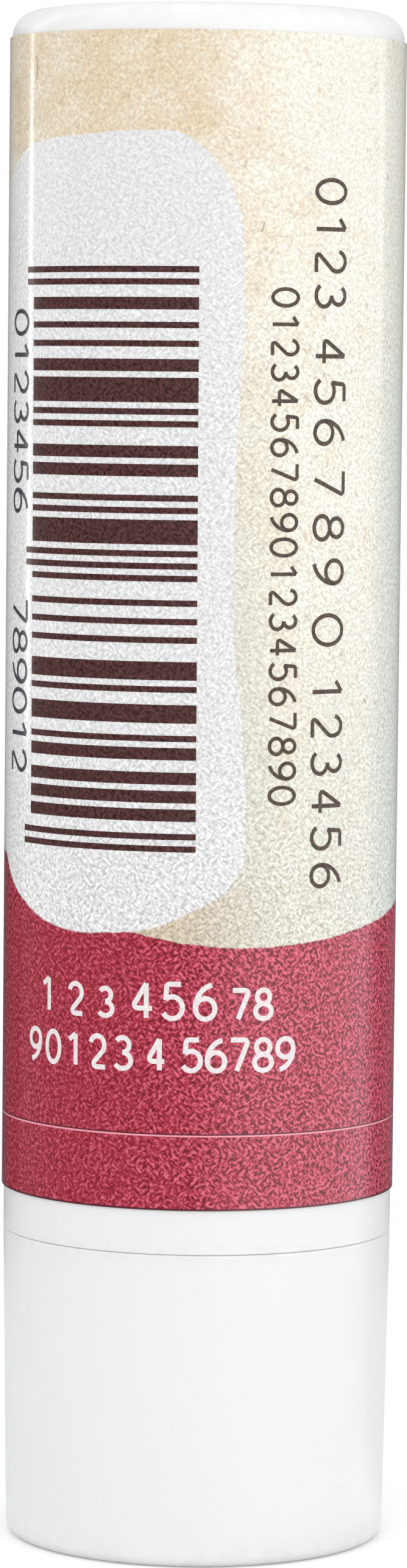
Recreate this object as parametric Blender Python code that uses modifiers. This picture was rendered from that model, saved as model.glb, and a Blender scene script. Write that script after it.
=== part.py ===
"""Twist-up lip balm stick, standing closed on its base.

A printed film label wraps the pull-off cap and the collar below it, cut through where the two meet. Under the
cap a keyed barrel holds the wax stick on a small elevator. Turning the base turns a left-handed spindle, which
raises the elevator without turning it.

Metres, +Z up, the origin at the centre of the base's foot. The printed panel faces -Y.
"""

import math

import bmesh
import bpy
from mathutils import Matrix, Vector

MM = 0.001

# The closed stick, from the foot up
DIAL_HEIGHT = 13.68 * MM
SEAM_GAP = 0.12 * MM
COLLAR_HEIGHT = 5.2 * MM
CAP_GAP = 0.1 * MM
CAP_HEIGHT = 48.6 * MM
SHELL_RADIUS = 8.65 * MM

# Cap
CAP_WALL = 0.9 * MM
CAP_ROOF = 1.2 * MM
CAP_TOP_FILLET = 1.0 * MM
CAP_ROOF_FILLET = 0.6 * MM
CAP_BORE_DRAFT = 0.1 * MM
CAP_RIM_CHAMFER = 0.12 * MM
CAP_BEAD_RISE = 1.1 * MM
CAP_BEAD_HALF = 0.45 * MM
CAP_BEAD_HEIGHT = 0.06 * MM

# Barrel, with the collar that the cap stands on and the neck that the base snaps over
CAP_CLEARANCE = 0.3 * MM
BARREL_WALL = 0.75 * MM
HEADSPACE = 5.9 * MM
RIM_ROUND = 0.25 * MM
SEAT_HEIGHT = 3.2 * MM
SEAT_CLEARANCE = 0.15 * MM
SEAT_RAMP = 0.5 * MM
SEAT_BEAD_RISE = 2.3 * MM
SEAT_BEAD_HALF = 0.4 * MM
SEAT_BEAD_HEIGHT = 0.04 * MM
COLLAR_CHAMFER = 0.1 * MM
NECK_CLEARANCE = 0.25 * MM
NECK_END_GAP = 1.2 * MM
NECK_CHAMFER = 0.2 * MM
NECK_BEAD_RISE = 1.0 * MM
NECK_BEAD_HALF = 0.6 * MM
NECK_BEAD_HEIGHT = 0.17 * MM
KEY_COUNT = 4
KEY_WIDTH = 0.8 * MM
KEY_HEIGHT = 0.4 * MM
KEY_SINK = 0.3 * MM
KEY_TOP_DROP = 2.0 * MM

# Turning base
DIAL_TAPER = 0.21 * MM
DIAL_WALL = 0.84 * MM
DIAL_FLOOR = 1.2 * MM
DIAL_FOOT_FILLET = 0.5 * MM
DIAL_TOP_FILLET = 0.15 * MM
DIAL_FOOT_LAND = 1.9 * MM
DIAL_FOOT_RECESS = 0.6 * MM
DIAL_CATCH_GAP = 0.3 * MM
DIAL_CATCH_HALF = 0.5 * MM
DIAL_CATCH_CLEARANCE = 0.07 * MM
DIAL_HUB_RADIUS = 4.4 * MM
DIAL_HUB_HEIGHT = 7.2 * MM
DIAL_RIB_COUNT = 6
DIAL_RIB_THICKNESS = 0.8 * MM
DIAL_RIB_HEIGHT = 3.0 * MM
DIAL_RIB_SINK = 0.3 * MM

# Spindle: a hexagonal foot in the base's hub, a seal flange and a coarse left-handed thread
SPINDLE_FOOT_RADIUS = 3.0 * MM
SPINDLE_FOOT_GAP = 0.3 * MM
SPINDLE_FOOT_FIT = 0.12 * MM
SPINDLE_FOOT_STANDOUT = 0.5 * MM
FLANGE_THICKNESS = 0.7 * MM
FLANGE_CLEARANCE = 0.2 * MM
THREAD_RADIUS = 2.0 * MM
THREAD_DEPTH = 0.65 * MM
THREAD_LEAD = 3.2 * MM
THREAD_ROOT_HALF = 0.62 * MM
THREAD_CREST_HALF = 0.4 * MM
THREAD_SINK = 0.2 * MM
THREAD_CLEARANCE = 0.15 * MM
SPINDLE_TIP_DROP = 2.2 * MM
SPINDLE_TIP_CHAMFER = 0.35 * MM

# Elevator: the keyed cup that carries the wax
ELEVATOR_GAP = 0.3 * MM
ELEVATOR_HEIGHT = 4.0 * MM
ELEVATOR_FLOOR = 1.0 * MM
ELEVATOR_WALL = 0.7 * MM
ELEVATOR_HUB_WALL = 0.95 * MM
ELEVATOR_CLEARANCE = 0.1 * MM
NOTCH_CLEARANCE = 0.15 * MM
NUT_TURNS = 0.5
NUT_SINK = 0.15 * MM
FIN_THICKNESS = 0.7 * MM
FIN_DROP = 1.0 * MM
FIN_SINK = 0.2 * MM

# Wax stick
WAX_DOME = 1.4 * MM
WAX_EDGE_ROUND = 0.3 * MM
WAX_DROP = 0.3 * MM
WAX_GAP = 0.1 * MM
WAX_CORE_GAP = 0.2 * MM
WAX_TIP_GAP = 0.6 * MM

# Film label
LABEL_THICKNESS = 0.08 * MM
LABEL_GLUE = 0.02 * MM
LABEL_TOP_MARGIN = 1.25 * MM
LABEL_FOOT_MARGIN = 2.0 * MM
LABEL_CUT_BACK = 0.02 * MM
LABEL_OVERLAP = 2.2 * MM
LABEL_RAMP = 0.9 * MM
LABEL_END_STEP = 19

# How finely round shapes are cut
ROUND_STEPS = 48
FILLET_STEPS = 4
DOME_STEPS = 6
THREAD_STEPS = 16
FOOT_SIDES = 6
OVERRUN = 0.4 * MM
MERGE = 0.001 * MM
SHARP_ANGLE = math.radians(32)

# Levels and radii that several pieces share
dial_floor_z = DIAL_FOOT_RECESS + DIAL_FLOOR
hub_top_z = dial_floor_z + DIAL_HUB_HEIGHT
collar_base_z = DIAL_HEIGHT + SEAM_GAP
collar_top_z = collar_base_z + COLLAR_HEIGHT
cap_base_z = collar_top_z + CAP_GAP
cap_top_z = cap_base_z + CAP_HEIGHT
barrel_rim_z = cap_top_z - CAP_ROOF - HEADSPACE
neck_base_z = dial_floor_z + DIAL_RIB_HEIGHT + NECK_END_GAP
neck_bead_z = neck_base_z + NECK_BEAD_RISE
elevator_base_z = collar_base_z
elevator_top_z = elevator_base_z + ELEVATOR_HEIGHT
flange_top_z = elevator_base_z - ELEVATOR_GAP
spindle_tip_z = barrel_rim_z - SPINDLE_TIP_DROP

cap_bore = SHELL_RADIUS - CAP_WALL
barrel_radius = cap_bore - CAP_CLEARANCE
seat_radius = cap_bore - SEAT_CLEARANCE
bore = barrel_radius - BARREL_WALL
key_radius = bore - KEY_HEIGHT
dial_bore = SHELL_RADIUS - DIAL_TAPER - DIAL_WALL
neck_radius = dial_bore - NECK_CLEARANCE
core_radius = THREAD_RADIUS - THREAD_DEPTH
nut_bore = THREAD_RADIUS + THREAD_CLEARANCE
elevator_radius = bore - ELEVATOR_CLEARANCE
elevator_cup = elevator_radius - ELEVATOR_WALL
elevator_hub = nut_bore + ELEVATOR_HUB_WALL
notch_radius = key_radius - ELEVATOR_CLEARANCE

# Colours as seen in daylight, then roughness
WHITE_PLASTIC = ((0.93, 0.93, 0.93), 0.38)
INNER_PLASTIC = ((0.90, 0.90, 0.89), 0.45)
LABEL_CREAM = ((0.88, 0.83, 0.74), 0.42)
LABEL_RED = ((0.66, 0.21, 0.29), 0.40)
WAX_IVORY = ((0.94, 0.90, 0.80), 0.55)


def clear_scene():
    """Empties the scene of whatever it starts with."""
    for obj in list(bpy.data.objects):
        bpy.data.objects.remove(obj, do_unlink=True)


def new_collection(name):
    collection = bpy.data.collections.new(name)
    bpy.context.scene.collection.children.link(collection)
    return collection


def linear(value):
    """A display value from 0 to 1 as the linear value that shaders take."""
    return ((value + 0.055) / 1.055) ** 2.4 if value > 0.04045 else value / 12.92


def add_material(name, finish):
    """One plain plastic, film or wax finish."""
    colour, roughness = finish
    material = bpy.data.materials.new(name)
    material.use_nodes = True
    shader = material.node_tree.nodes["Principled BSDF"]
    shader.inputs["Base Color"].default_value = (*map(linear, colour), 1)
    shader.inputs["Roughness"].default_value = roughness
    shader.inputs["Metallic"].default_value = 0
    return material


def add_object(name, mesh, collection, parent=None, finish=None):
    """An object for this mesh, under its sub-assembly's empty."""
    obj = bpy.data.objects.new(name, mesh)
    collection.objects.link(obj)
    obj.parent = parent
    if finish:
        mesh.materials.append(add_material(name, finish))
    return obj


def add_axis(name, height, collection):
    """An empty on the stick's axis, which carries one sub-assembly when it moves."""
    empty = bpy.data.objects.new(name, None)
    empty.location.z = height
    empty.empty_display_size = SHELL_RADIUS
    collection.objects.link(empty)
    return empty


def hide_helper(obj):
    """Cutters and joined-on shapes stay out of renders."""
    obj.hide_render = True
    obj.display_type = "WIRE"
    return obj


def arc(centre, radius, start, end, steps=FILLET_STEPS):
    """Points from one angle to another, in degrees, in the (radius, height) plane."""
    angles = [math.radians(start + (end - start) * i / steps) for i in range(steps + 1)]
    return [(centre[0] + radius * math.cos(a), centre[1] + radius * math.sin(a)) for a in angles]


def bead(radius, height, middle, half, upward):
    """A low rounded ridge on a wall, as (radius, height) points. A negative height leans to the axis."""
    ends = [(radius, middle + half), (radius + height, middle + half / 3)]
    ends += [(radius + height, middle - half / 3), (radius, middle - half)]
    return ends[::-1] if upward else ends


def turned(name, profile, base, closed, collection, parent=None, finish=None, steps=ROUND_STEPS):
    """A round piece from its half section, given in heights above the foot and turned about its own base."""
    mesh = bpy.data.meshes.new(name)
    points = [(radius, 0, height - base) for radius, height in profile]
    edges = [(i, i + 1) for i in range(len(points) - 1)]
    if closed:
        edges.append((len(points) - 1, 0))
    mesh.from_pydata(points, edges, [])
    obj = add_object(name, mesh, collection, parent, finish)
    screw = obj.modifiers.new("Turn", "SCREW")
    screw.steps = screw.render_steps = steps
    screw.use_merge_vertices = True
    screw.merge_threshold = MERGE
    return obj


def boxes(name, size, middle, count, start_angle, collection, parent):
    """A ring of equal blocks. Size is radial, across and up, and middle is their centre's radius and height."""
    bm = bmesh.new()
    for i in range(count):
        turn = Matrix.Rotation(start_angle + math.tau * i / count, 4, "Z")
        place = Matrix.Translation((middle[0], 0, middle[1]))
        bmesh.ops.create_cube(bm, size=1, matrix=turn @ place @ Matrix.Diagonal((*size, 1)))
    return bm_helper(name, bm, collection, parent)


def prism(name, radius, low, high, sides, collection, parent):
    """An upright prism, such as the spindle's foot and the socket that it drives."""
    bm = bmesh.new()
    place = Matrix.Translation((0, 0, (low + high) / 2))
    bmesh.ops.create_cone(
        bm, cap_ends=True, segments=sides, radius1=radius, radius2=radius, depth=high - low, matrix=place
    )
    return bm_helper(name, bm, collection, parent)


def helix_ridge(name, section, turns, collection, parent):
    """A left-handed ridge: its (radius, height) section runs down from its top end as it turns."""
    bm = bmesh.new()
    corners = [bm.verts.new((radius, 0, height)) for radius, height in section]
    edges = [bm.edges.new((corners[i - 1], corners[i])) for i in range(len(corners))]
    steps = round(turns * THREAD_STEPS)
    bmesh.ops.spin(
        bm, geom=corners + edges, axis=(0, 0, 1), dvec=(0, 0, -THREAD_LEAD / THREAD_STEPS),
        angle=math.tau * turns, steps=steps,
    )
    bmesh.ops.holes_fill(bm, edges=bm.edges, sides=len(section))
    bmesh.ops.recalc_face_normals(bm, faces=bm.faces)
    return bm_helper(name, bm, collection, parent)


def bm_helper(name, bm, collection, parent):
    mesh = bpy.data.meshes.new(name)
    bm.to_mesh(mesh)
    bm.free()
    return hide_helper(add_object(name, mesh, collection, parent))


def combine(obj, operation, other):
    """Joins the other shape on, or cuts it away."""
    modifier = obj.modifiers.new(f"{operation.title()} {other.name}", "BOOLEAN")
    modifier.operation = operation
    modifier.object = other
    modifier.solver = "EXACT"


def settle(obj):
    """Makes the modifiers real and shades the round faces smooth up to the sharp corners."""
    bpy.context.view_layer.update()
    graph = bpy.context.evaluated_depsgraph_get()
    mesh = bpy.data.meshes.new_from_object(obj.evaluated_get(graph))
    obj.modifiers.clear()
    obj.data = mesh
    mesh.shade_smooth()
    mesh.set_sharp_from_angle(angle=SHARP_ANGLE)
    return obj


def make_dial(parts, helpers, axis):
    """The turning base: a drafted cup with a hub for the spindle's foot and a catch over the barrel's neck."""
    foot_radius = SHELL_RADIUS - DIAL_TAPER
    land_radius = foot_radius - DIAL_FOOT_FILLET - DIAL_FOOT_LAND
    catch_z = neck_bead_z + NECK_BEAD_HALF + DIAL_CATCH_GAP + DIAL_CATCH_HALF
    catch_height = NECK_CLEARANCE - DIAL_CATCH_CLEARANCE
    top_middle = (SHELL_RADIUS - DIAL_TOP_FILLET, DIAL_HEIGHT - DIAL_TOP_FILLET)
    foot_middle = (foot_radius - DIAL_FOOT_FILLET, DIAL_FOOT_FILLET)
    profile = [(0, hub_top_z), (DIAL_HUB_RADIUS, hub_top_z), (DIAL_HUB_RADIUS, dial_floor_z)]
    profile += [(dial_bore, dial_floor_z), *bead(dial_bore, -catch_height, catch_z, DIAL_CATCH_HALF, True)]
    profile += [(dial_bore, DIAL_HEIGHT - DIAL_TOP_FILLET), (dial_bore + DIAL_TOP_FILLET, DIAL_HEIGHT)]
    profile += arc(top_middle, DIAL_TOP_FILLET, 90, 0)
    profile += arc(foot_middle, DIAL_FOOT_FILLET, 0, -90)
    profile += [(land_radius, 0), (land_radius - DIAL_FOOT_RECESS, DIAL_FOOT_RECESS), (0, DIAL_FOOT_RECESS)]
    dial = turned("base_dial", profile, 0, False, parts, axis, WHITE_PLASTIC)

    low = dial_floor_z - DIAL_RIB_SINK
    rib_length = dial_bore - DIAL_HUB_RADIUS + 2 * DIAL_RIB_SINK
    rib_size = (rib_length, DIAL_RIB_THICKNESS, DIAL_RIB_HEIGHT + DIAL_RIB_SINK)
    rib_middle = ((dial_bore + DIAL_HUB_RADIUS) / 2, low + rib_size[2] / 2)
    ribs = boxes("dial_ribs", rib_size, rib_middle, DIAL_RIB_COUNT, 0, helpers, axis)
    socket_radius = SPINDLE_FOOT_RADIUS + SPINDLE_FOOT_FIT
    socket = prism("dial_socket", socket_radius, dial_floor_z, hub_top_z + OVERRUN, FOOT_SIDES, helpers, axis)
    combine(dial, "UNION", ribs)
    combine(dial, "DIFFERENCE", socket)
    return settle(dial)


def make_spindle(parts, helpers, axis):
    """The screw: it stands in the base's hub, closes the barrel with its flange and runs up through the wax."""
    foot_top = hub_top_z + SPINDLE_FOOT_STANDOUT
    flange_radius = bore - FLANGE_CLEARANCE
    chamfer_z = spindle_tip_z - SPINDLE_TIP_CHAMFER
    flange_low = flange_top_z - FLANGE_THICKNESS
    profile = [(0, flange_top_z), (flange_radius, flange_top_z), (flange_radius, flange_low)]
    profile += [(THREAD_RADIUS, flange_low), (THREAD_RADIUS, foot_top - OVERRUN), (0, foot_top - OVERRUN)]
    spindle = turned("spindle", profile, 0, False, parts, axis, INNER_PLASTIC)
    profile = [(0, spindle_tip_z), (core_radius - SPINDLE_TIP_CHAMFER, spindle_tip_z), (core_radius, chamfer_z)]
    profile += [(core_radius, flange_top_z - OVERRUN), (0, flange_top_z - OVERRUN)]
    rod = hide_helper(turned("spindle_rod", profile, 0, False, helpers, axis, steps=THREAD_STEPS))

    foot_low = dial_floor_z + SPINDLE_FOOT_GAP
    foot = prism("spindle_foot", SPINDLE_FOOT_RADIUS, foot_low, foot_top, FOOT_SIDES, helpers, axis)
    thread_low = nut_middle_z() - THREAD_LEAD / 2
    room = chamfer_z - THREAD_ROOT_HALF - thread_low
    turns = math.floor(room / THREAD_LEAD)
    thread_top = thread_low + turns * THREAD_LEAD
    inner = core_radius - THREAD_SINK
    section = [(inner, thread_top - THREAD_ROOT_HALF), (THREAD_RADIUS, thread_top - THREAD_CREST_HALF)]
    section += [(THREAD_RADIUS, thread_top + THREAD_CREST_HALF), (inner, thread_top + THREAD_ROOT_HALF)]
    ridge = helix_ridge("spindle_thread", section, turns, helpers, axis)
    combine(spindle, "UNION", foot)
    combine(spindle, "UNION", rod)
    combine(spindle, "UNION", ridge)
    return settle(spindle)


def nut_middle_z():
    """Height of the nut ridge's upper end, which centres its half turn in the elevator's hub."""
    return elevator_base_z + (ELEVATOR_HEIGHT + NUT_TURNS * THREAD_LEAD) / 2


def make_barrel(parts, helpers, axis):
    """The fixed tube: keyed bore, a seat for the cap, the collar that shows, and the neck inside the base."""
    base = collar_base_z
    seat_top = collar_top_z + SEAT_HEIGHT
    rim_middle = barrel_radius - RIM_ROUND
    outer = [*arc((rim_middle, barrel_rim_z - RIM_ROUND), RIM_ROUND, 90, 0, steps=3)]
    outer += [(barrel_radius, seat_top + SEAT_RAMP), (seat_radius, seat_top)]
    outer += bead(seat_radius, SEAT_BEAD_HEIGHT, collar_top_z + SEAT_BEAD_RISE, SEAT_BEAD_HALF, False)
    outer += [(seat_radius, collar_top_z), (SHELL_RADIUS - COLLAR_CHAMFER, collar_top_z)]
    outer += [(SHELL_RADIUS, collar_top_z - COLLAR_CHAMFER), (SHELL_RADIUS, base + COLLAR_CHAMFER)]
    outer += [(SHELL_RADIUS - COLLAR_CHAMFER, base), (neck_radius, base)]
    outer += bead(neck_radius, NECK_BEAD_HEIGHT, neck_bead_z, NECK_BEAD_HALF, False)
    outer += [(neck_radius, neck_base_z + NECK_CHAMFER), (neck_radius - NECK_CHAMFER, neck_base_z)]
    inner = [(bore, neck_base_z), (bore, barrel_rim_z - RIM_ROUND), (bore + RIM_ROUND, barrel_rim_z)]
    barrel = turned("barrel", outer + inner, base, True, parts, axis, INNER_PLASTIC)

    key_top = barrel_rim_z - KEY_TOP_DROP
    key_size = (KEY_HEIGHT + KEY_SINK, KEY_WIDTH, key_top - collar_base_z)
    key_middle = (key_radius + key_size[0] / 2, (key_top - collar_base_z) / 2)
    keys = boxes("barrel_keys", key_size, key_middle, KEY_COUNT, 0, helpers, axis)
    combine(barrel, "UNION", keys)
    return settle(barrel)


def make_elevator(parts, helpers, axis):
    """The wax carrier: a cup with key notches, four fins that grip the wax and half a turn of nut thread."""
    base, top = elevator_base_z, elevator_top_z
    floor = base + ELEVATOR_FLOOR
    profile = [(elevator_radius, top), (elevator_radius, base), (nut_bore, base), (nut_bore, top)]
    profile += [(elevator_hub, top), (elevator_hub, floor), (elevator_cup, floor), (elevator_cup, top)]
    elevator = turned("elevator", profile, base, True, parts, axis, INNER_PLASTIC)

    fin_top = ELEVATOR_HEIGHT - FIN_DROP
    fin_low = ELEVATOR_FLOOR - FIN_SINK
    fin_size = (elevator_cup - elevator_hub + 2 * FIN_SINK, FIN_THICKNESS, fin_top - fin_low)
    fin_middle = ((elevator_cup + elevator_hub) / 2, (fin_top + fin_low) / 2)
    fins = boxes("elevator_fins", fin_size, fin_middle, KEY_COUNT, math.pi / KEY_COUNT, helpers, axis)

    tip = core_radius + THREAD_CLEARANCE
    root = nut_bore + NUT_SINK
    tip_half = THREAD_LEAD / 2 - thread_half(tip) - THREAD_CLEARANCE
    root_half = THREAD_LEAD / 2 - thread_half(root) - THREAD_CLEARANCE
    middle = nut_middle_z() - base
    section = [(tip, middle - tip_half), (root, middle - root_half)]
    section += [(root, middle + root_half), (tip, middle + tip_half)]
    nut = helix_ridge("elevator_nut", section, NUT_TURNS, helpers, axis)
    notches = key_cutter("elevator_notches", -OVERRUN, ELEVATOR_HEIGHT + OVERRUN, helpers, axis)
    combine(elevator, "UNION", fins)
    combine(elevator, "UNION", nut)
    combine(elevator, "DIFFERENCE", notches)
    return settle(elevator)


def thread_half(radius):
    """Half the axial width of the spindle's ridge at this radius."""
    share = (radius - core_radius + THREAD_SINK) / (THREAD_DEPTH + THREAD_SINK)
    return THREAD_ROOT_HALF + share * (THREAD_CREST_HALF - THREAD_ROOT_HALF)


def key_cutter(name, low, high, helpers, axis):
    """Grooves that clear the barrel's keys."""
    reach = elevator_radius + OVERRUN - notch_radius
    size = (reach, KEY_WIDTH + 2 * NOTCH_CLEARANCE, high - low)
    return boxes(name, size, (notch_radius + reach / 2, (low + high) / 2), KEY_COUNT, 0, helpers, axis)


def make_wax(parts, helpers, axis):
    """The wax, cast in the barrel round the screw and into the elevator's cup, with a low dome on top."""
    wax_radius = bore - WAX_GAP
    cup_low = elevator_base_z + ELEVATOR_FLOOR + WAX_GAP
    cup_high = elevator_top_z + WAX_GAP
    edge_z = barrel_rim_z - WAX_DROP
    edge_middle = (wax_radius - WAX_EDGE_ROUND, edge_z - WAX_EDGE_ROUND)
    dome_radius = (edge_middle[0] ** 2 + WAX_DOME**2) / (2 * WAX_DOME)
    dome_angle = math.degrees(math.asin(edge_middle[0] / dome_radius))
    dome_middle = (0, edge_z + WAX_DOME - dome_radius)
    core = THREAD_RADIUS + WAX_CORE_GAP
    core_top = spindle_tip_z + WAX_TIP_GAP
    profile = [(0, edge_z + WAX_DOME), *arc(dome_middle, dome_radius, 90, 90 - dome_angle, DOME_STEPS)[1:]]
    profile += arc(edge_middle, WAX_EDGE_ROUND, 90 - dome_angle, 0)[1:]
    profile += [(wax_radius, cup_high), (elevator_cup - WAX_GAP, cup_high), (elevator_cup - WAX_GAP, cup_low)]
    profile += [(elevator_hub + WAX_GAP, cup_low), (elevator_hub + WAX_GAP, cup_high), (core, cup_high)]
    profile += [(core, core_top - WAX_TIP_GAP), (0, core_top)]
    wax = turned("balm_stick", profile, elevator_base_z, False, parts, axis, WAX_IVORY)

    groove_top = barrel_rim_z - elevator_base_z + OVERRUN
    grooves = key_cutter("balm_grooves", -OVERRUN, groove_top, helpers, axis)
    slot_reach = elevator_cup - elevator_hub
    slot_low = ELEVATOR_FLOOR
    slot_high = ELEVATOR_HEIGHT - FIN_DROP + WAX_GAP
    slot_size = (slot_reach, FIN_THICKNESS + 2 * WAX_GAP, slot_high - slot_low)
    slot_middle = ((elevator_cup + elevator_hub) / 2, (slot_high + slot_low) / 2)
    slots = boxes("balm_fin_slots", slot_size, slot_middle, KEY_COUNT, math.pi / KEY_COUNT, helpers, axis)
    combine(wax, "DIFFERENCE", grooves)
    combine(wax, "DIFFERENCE", slots)
    return settle(wax)


def make_cap(parts, axis):
    """The pull-off cap: a thin cup with a rounded shoulder and a bead inside its mouth."""
    base, top = cap_base_z, cap_top_z
    roof_z = top - CAP_ROOF
    roof_bore = cap_bore - CAP_BORE_DRAFT
    shoulder = (SHELL_RADIUS - CAP_TOP_FILLET, top - CAP_TOP_FILLET)
    profile = [(0, top), *arc(shoulder, CAP_TOP_FILLET, 90, 0)]
    profile += [(SHELL_RADIUS, base + CAP_RIM_CHAMFER), (SHELL_RADIUS - CAP_RIM_CHAMFER, base)]
    profile += [(cap_bore + CAP_RIM_CHAMFER, base), (cap_bore, base + CAP_RIM_CHAMFER)]
    profile += bead(cap_bore, -CAP_BEAD_HEIGHT, base + CAP_BEAD_RISE, CAP_BEAD_HALF, True)
    profile += arc((roof_bore - CAP_ROOF_FILLET, roof_z - CAP_ROOF_FILLET), CAP_ROOF_FILLET, 0, 90, steps=3)
    profile += [(0, roof_z)]
    return settle(turned("cap", profile, base, False, parts, axis, WHITE_PLASTIC))


def make_label(name, low, high, base, parts, axis, finish):
    """A film strip wrapped once round the stick, its end lapped over its start at the back."""
    inner = SHELL_RADIUS + LABEL_GLUE
    lap = inner + LABEL_THICKNESS + LABEL_GLUE
    ramp = LABEL_RAMP / inner
    overlap = LABEL_OVERLAP / inner
    turns = [(inner, math.tau * i / ROUND_STEPS) for i in range(ROUND_STEPS)]
    turns = [(radius, angle) for radius, angle in turns if angle < math.tau - ramp]
    turns += [(inner, math.tau - ramp), (lap, math.tau - ramp / 4)]
    turns += [(lap, math.tau + overlap * i / 2) for i in range(3)]
    start = math.tau * LABEL_END_STEP / ROUND_STEPS
    points = []
    for height in (low, high):
        for radius, angle in turns:
            across = Vector((radius, 0, height - base))
            points.append(Matrix.Rotation(start + angle, 3, "Z") @ across)
    count = len(turns)
    faces = [(i, i + 1, count + i + 1, count + i) for i in range(count - 1)]
    mesh = bpy.data.meshes.new(name)
    mesh.from_pydata(points, [], faces)
    label = add_object(name, mesh, parts, axis, finish)
    film = label.modifiers.new("Film", "SOLIDIFY")
    film.thickness = LABEL_THICKNESS
    film.offset = 1
    return settle(label)


def main():
    clear_scene()
    parts = new_collection("lip_balm_stick")
    helpers = new_collection("cutters")
    barrel_axis = add_axis("barrel_axis", collar_base_z, parts)
    dial_axis = add_axis("dial_axis", 0, parts)
    lift_axis = add_axis("lift_axis", elevator_base_z, parts)
    cap_axis = add_axis("cap_axis", cap_base_z, parts)

    make_dial(parts, helpers, dial_axis)
    make_spindle(parts, helpers, dial_axis)
    make_barrel(parts, helpers, barrel_axis)
    make_elevator(parts, helpers, lift_axis)
    make_wax(parts, helpers, lift_axis)
    make_cap(parts, cap_axis)
    label_low = collar_base_z + LABEL_FOOT_MARGIN
    label_high = cap_top_z - LABEL_TOP_MARGIN
    collar_high = collar_top_z - LABEL_CUT_BACK
    cap_low = cap_base_z + LABEL_CUT_BACK
    make_label("collar_label", label_low, collar_high, collar_base_z, parts, barrel_axis, LABEL_RED)
    make_label("cap_label", cap_low, label_high, cap_base_z, parts, cap_axis, LABEL_CREAM)


main()
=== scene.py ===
"""Looks for a closed twist-up lip balm stick: shells, a printed film label, a screw, a carrier and wax.

The frame is in metres, +Z up, with the stick's foot at the origin and the printed panel facing -Y. Sizes of
pieces are written in millimetres and turned into metres as each mesh is made.
"""
import math

import bmesh
import bpy
from mathutils import Matrix, Vector


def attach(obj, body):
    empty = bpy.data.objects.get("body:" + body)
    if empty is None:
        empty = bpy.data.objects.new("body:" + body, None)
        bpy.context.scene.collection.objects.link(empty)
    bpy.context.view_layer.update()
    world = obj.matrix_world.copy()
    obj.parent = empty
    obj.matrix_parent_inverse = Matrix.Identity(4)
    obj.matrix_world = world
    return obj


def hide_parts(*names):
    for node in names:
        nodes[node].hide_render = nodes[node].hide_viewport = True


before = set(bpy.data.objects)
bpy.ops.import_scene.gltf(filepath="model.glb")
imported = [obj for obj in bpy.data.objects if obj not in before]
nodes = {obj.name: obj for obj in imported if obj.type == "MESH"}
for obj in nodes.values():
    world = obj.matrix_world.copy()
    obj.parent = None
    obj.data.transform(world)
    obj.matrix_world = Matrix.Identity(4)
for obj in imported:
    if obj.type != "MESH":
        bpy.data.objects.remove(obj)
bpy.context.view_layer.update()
scene = bpy.context.scene

# The turning base: a drafted cup moulded in white plastic, with a hub that drives the screw, six ribs and a
# catch that snaps over the barrel's neck. Its foot is a flat ring round a shallow recess with a gate mark.
MM = 0.001
TURN_STEPS = 192
ROUND_STEPS = 10
EASE = 0.04
SHARP_ANGLE = math.radians(32)
MERGE = 0.0005 * MM

SHELL_RADIUS = 8.65
DIAL_HEIGHT = 13.785
DIAL_TAPER = 0.21
DIAL_BORE = 7.6
DIAL_FLOOR_Z = 1.8
DIAL_FOOT_FILLET = 0.5
DIAL_TOP_FILLET = 0.1
DIAL_FOOT_LAND = 1.9
DIAL_FOOT_RECESS = 0.6
DIAL_HUB_RADIUS = 4.4
DIAL_HUB_Z = 9.0
DIAL_CATCH_Z = 8.4
DIAL_CATCH_HALF = 0.5
DIAL_CATCH_HEIGHT = 0.18
DIAL_SOCKET_RADIUS = 3.12
DIAL_SOCKET_SIDES = 6
DIAL_RIBS = 6
DIAL_RIB_THICKNESS = 0.8
DIAL_RIB_TOP_Z = 4.8
GATE_RADIUS = 0.9
GATE_DEPTH = 0.12
GATE_NUB_RADIUS = 0.35
OVERRUN = 0.3


def bow(x, y, across, up, start, end, steps=12):
    """Points on an oval, between two angles in degrees."""
    angles = [math.radians(start + (end - start) * i / steps) for i in range(steps + 1)]
    return [(x + across * math.cos(a), y + up * math.sin(a)) for a in angles]


def arc(middle, radius, start, end, steps=ROUND_STEPS):
    """Points of a rounded corner in the (radius, height) plane, between two angles in degrees."""
    return bow(*middle, radius, radius, start, end, steps)


def ridge(radius, height, middle, half, upward):
    """A low smooth ridge on a wall, as (radius, height) points. A negative height leans to the axis."""
    shares = [i / ROUND_STEPS * 2 - 1 for i in range(ROUND_STEPS + 1)]
    points = [(radius + height * (math.cos(math.pi * t) + 1) / 2, middle + half * t) for t in shares]
    return points if upward else points[::-1]


def eased(profile, closed):
    """Adds a point close to each end of a long straight, so that smooth shading stays within the corners."""
    points = []
    pairs = list(zip(profile, profile[1:] + profile[:1]))
    for start, end in pairs if closed else pairs[:-1]:
        points.append(start)
        length = math.dist(start, end)
        if length > 3 * EASE:
            for share in (EASE / length, 1 - EASE / length):
                points.append(tuple(a + (b - a) * share for a, b in zip(start, end)))
    return points if closed else points + [profile[-1]]


def placed(name, content):
    """Puts an object in the scene, at the origin."""
    item = bpy.data.objects.new(name, content)
    scene.collection.objects.link(item)
    return item


def smoothed(mesh):
    """Shades a mesh smooth up to its sharp corners."""
    mesh.shade_smooth()
    mesh.set_sharp_from_angle(angle=SHARP_ANGLE)
    return mesh


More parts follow.
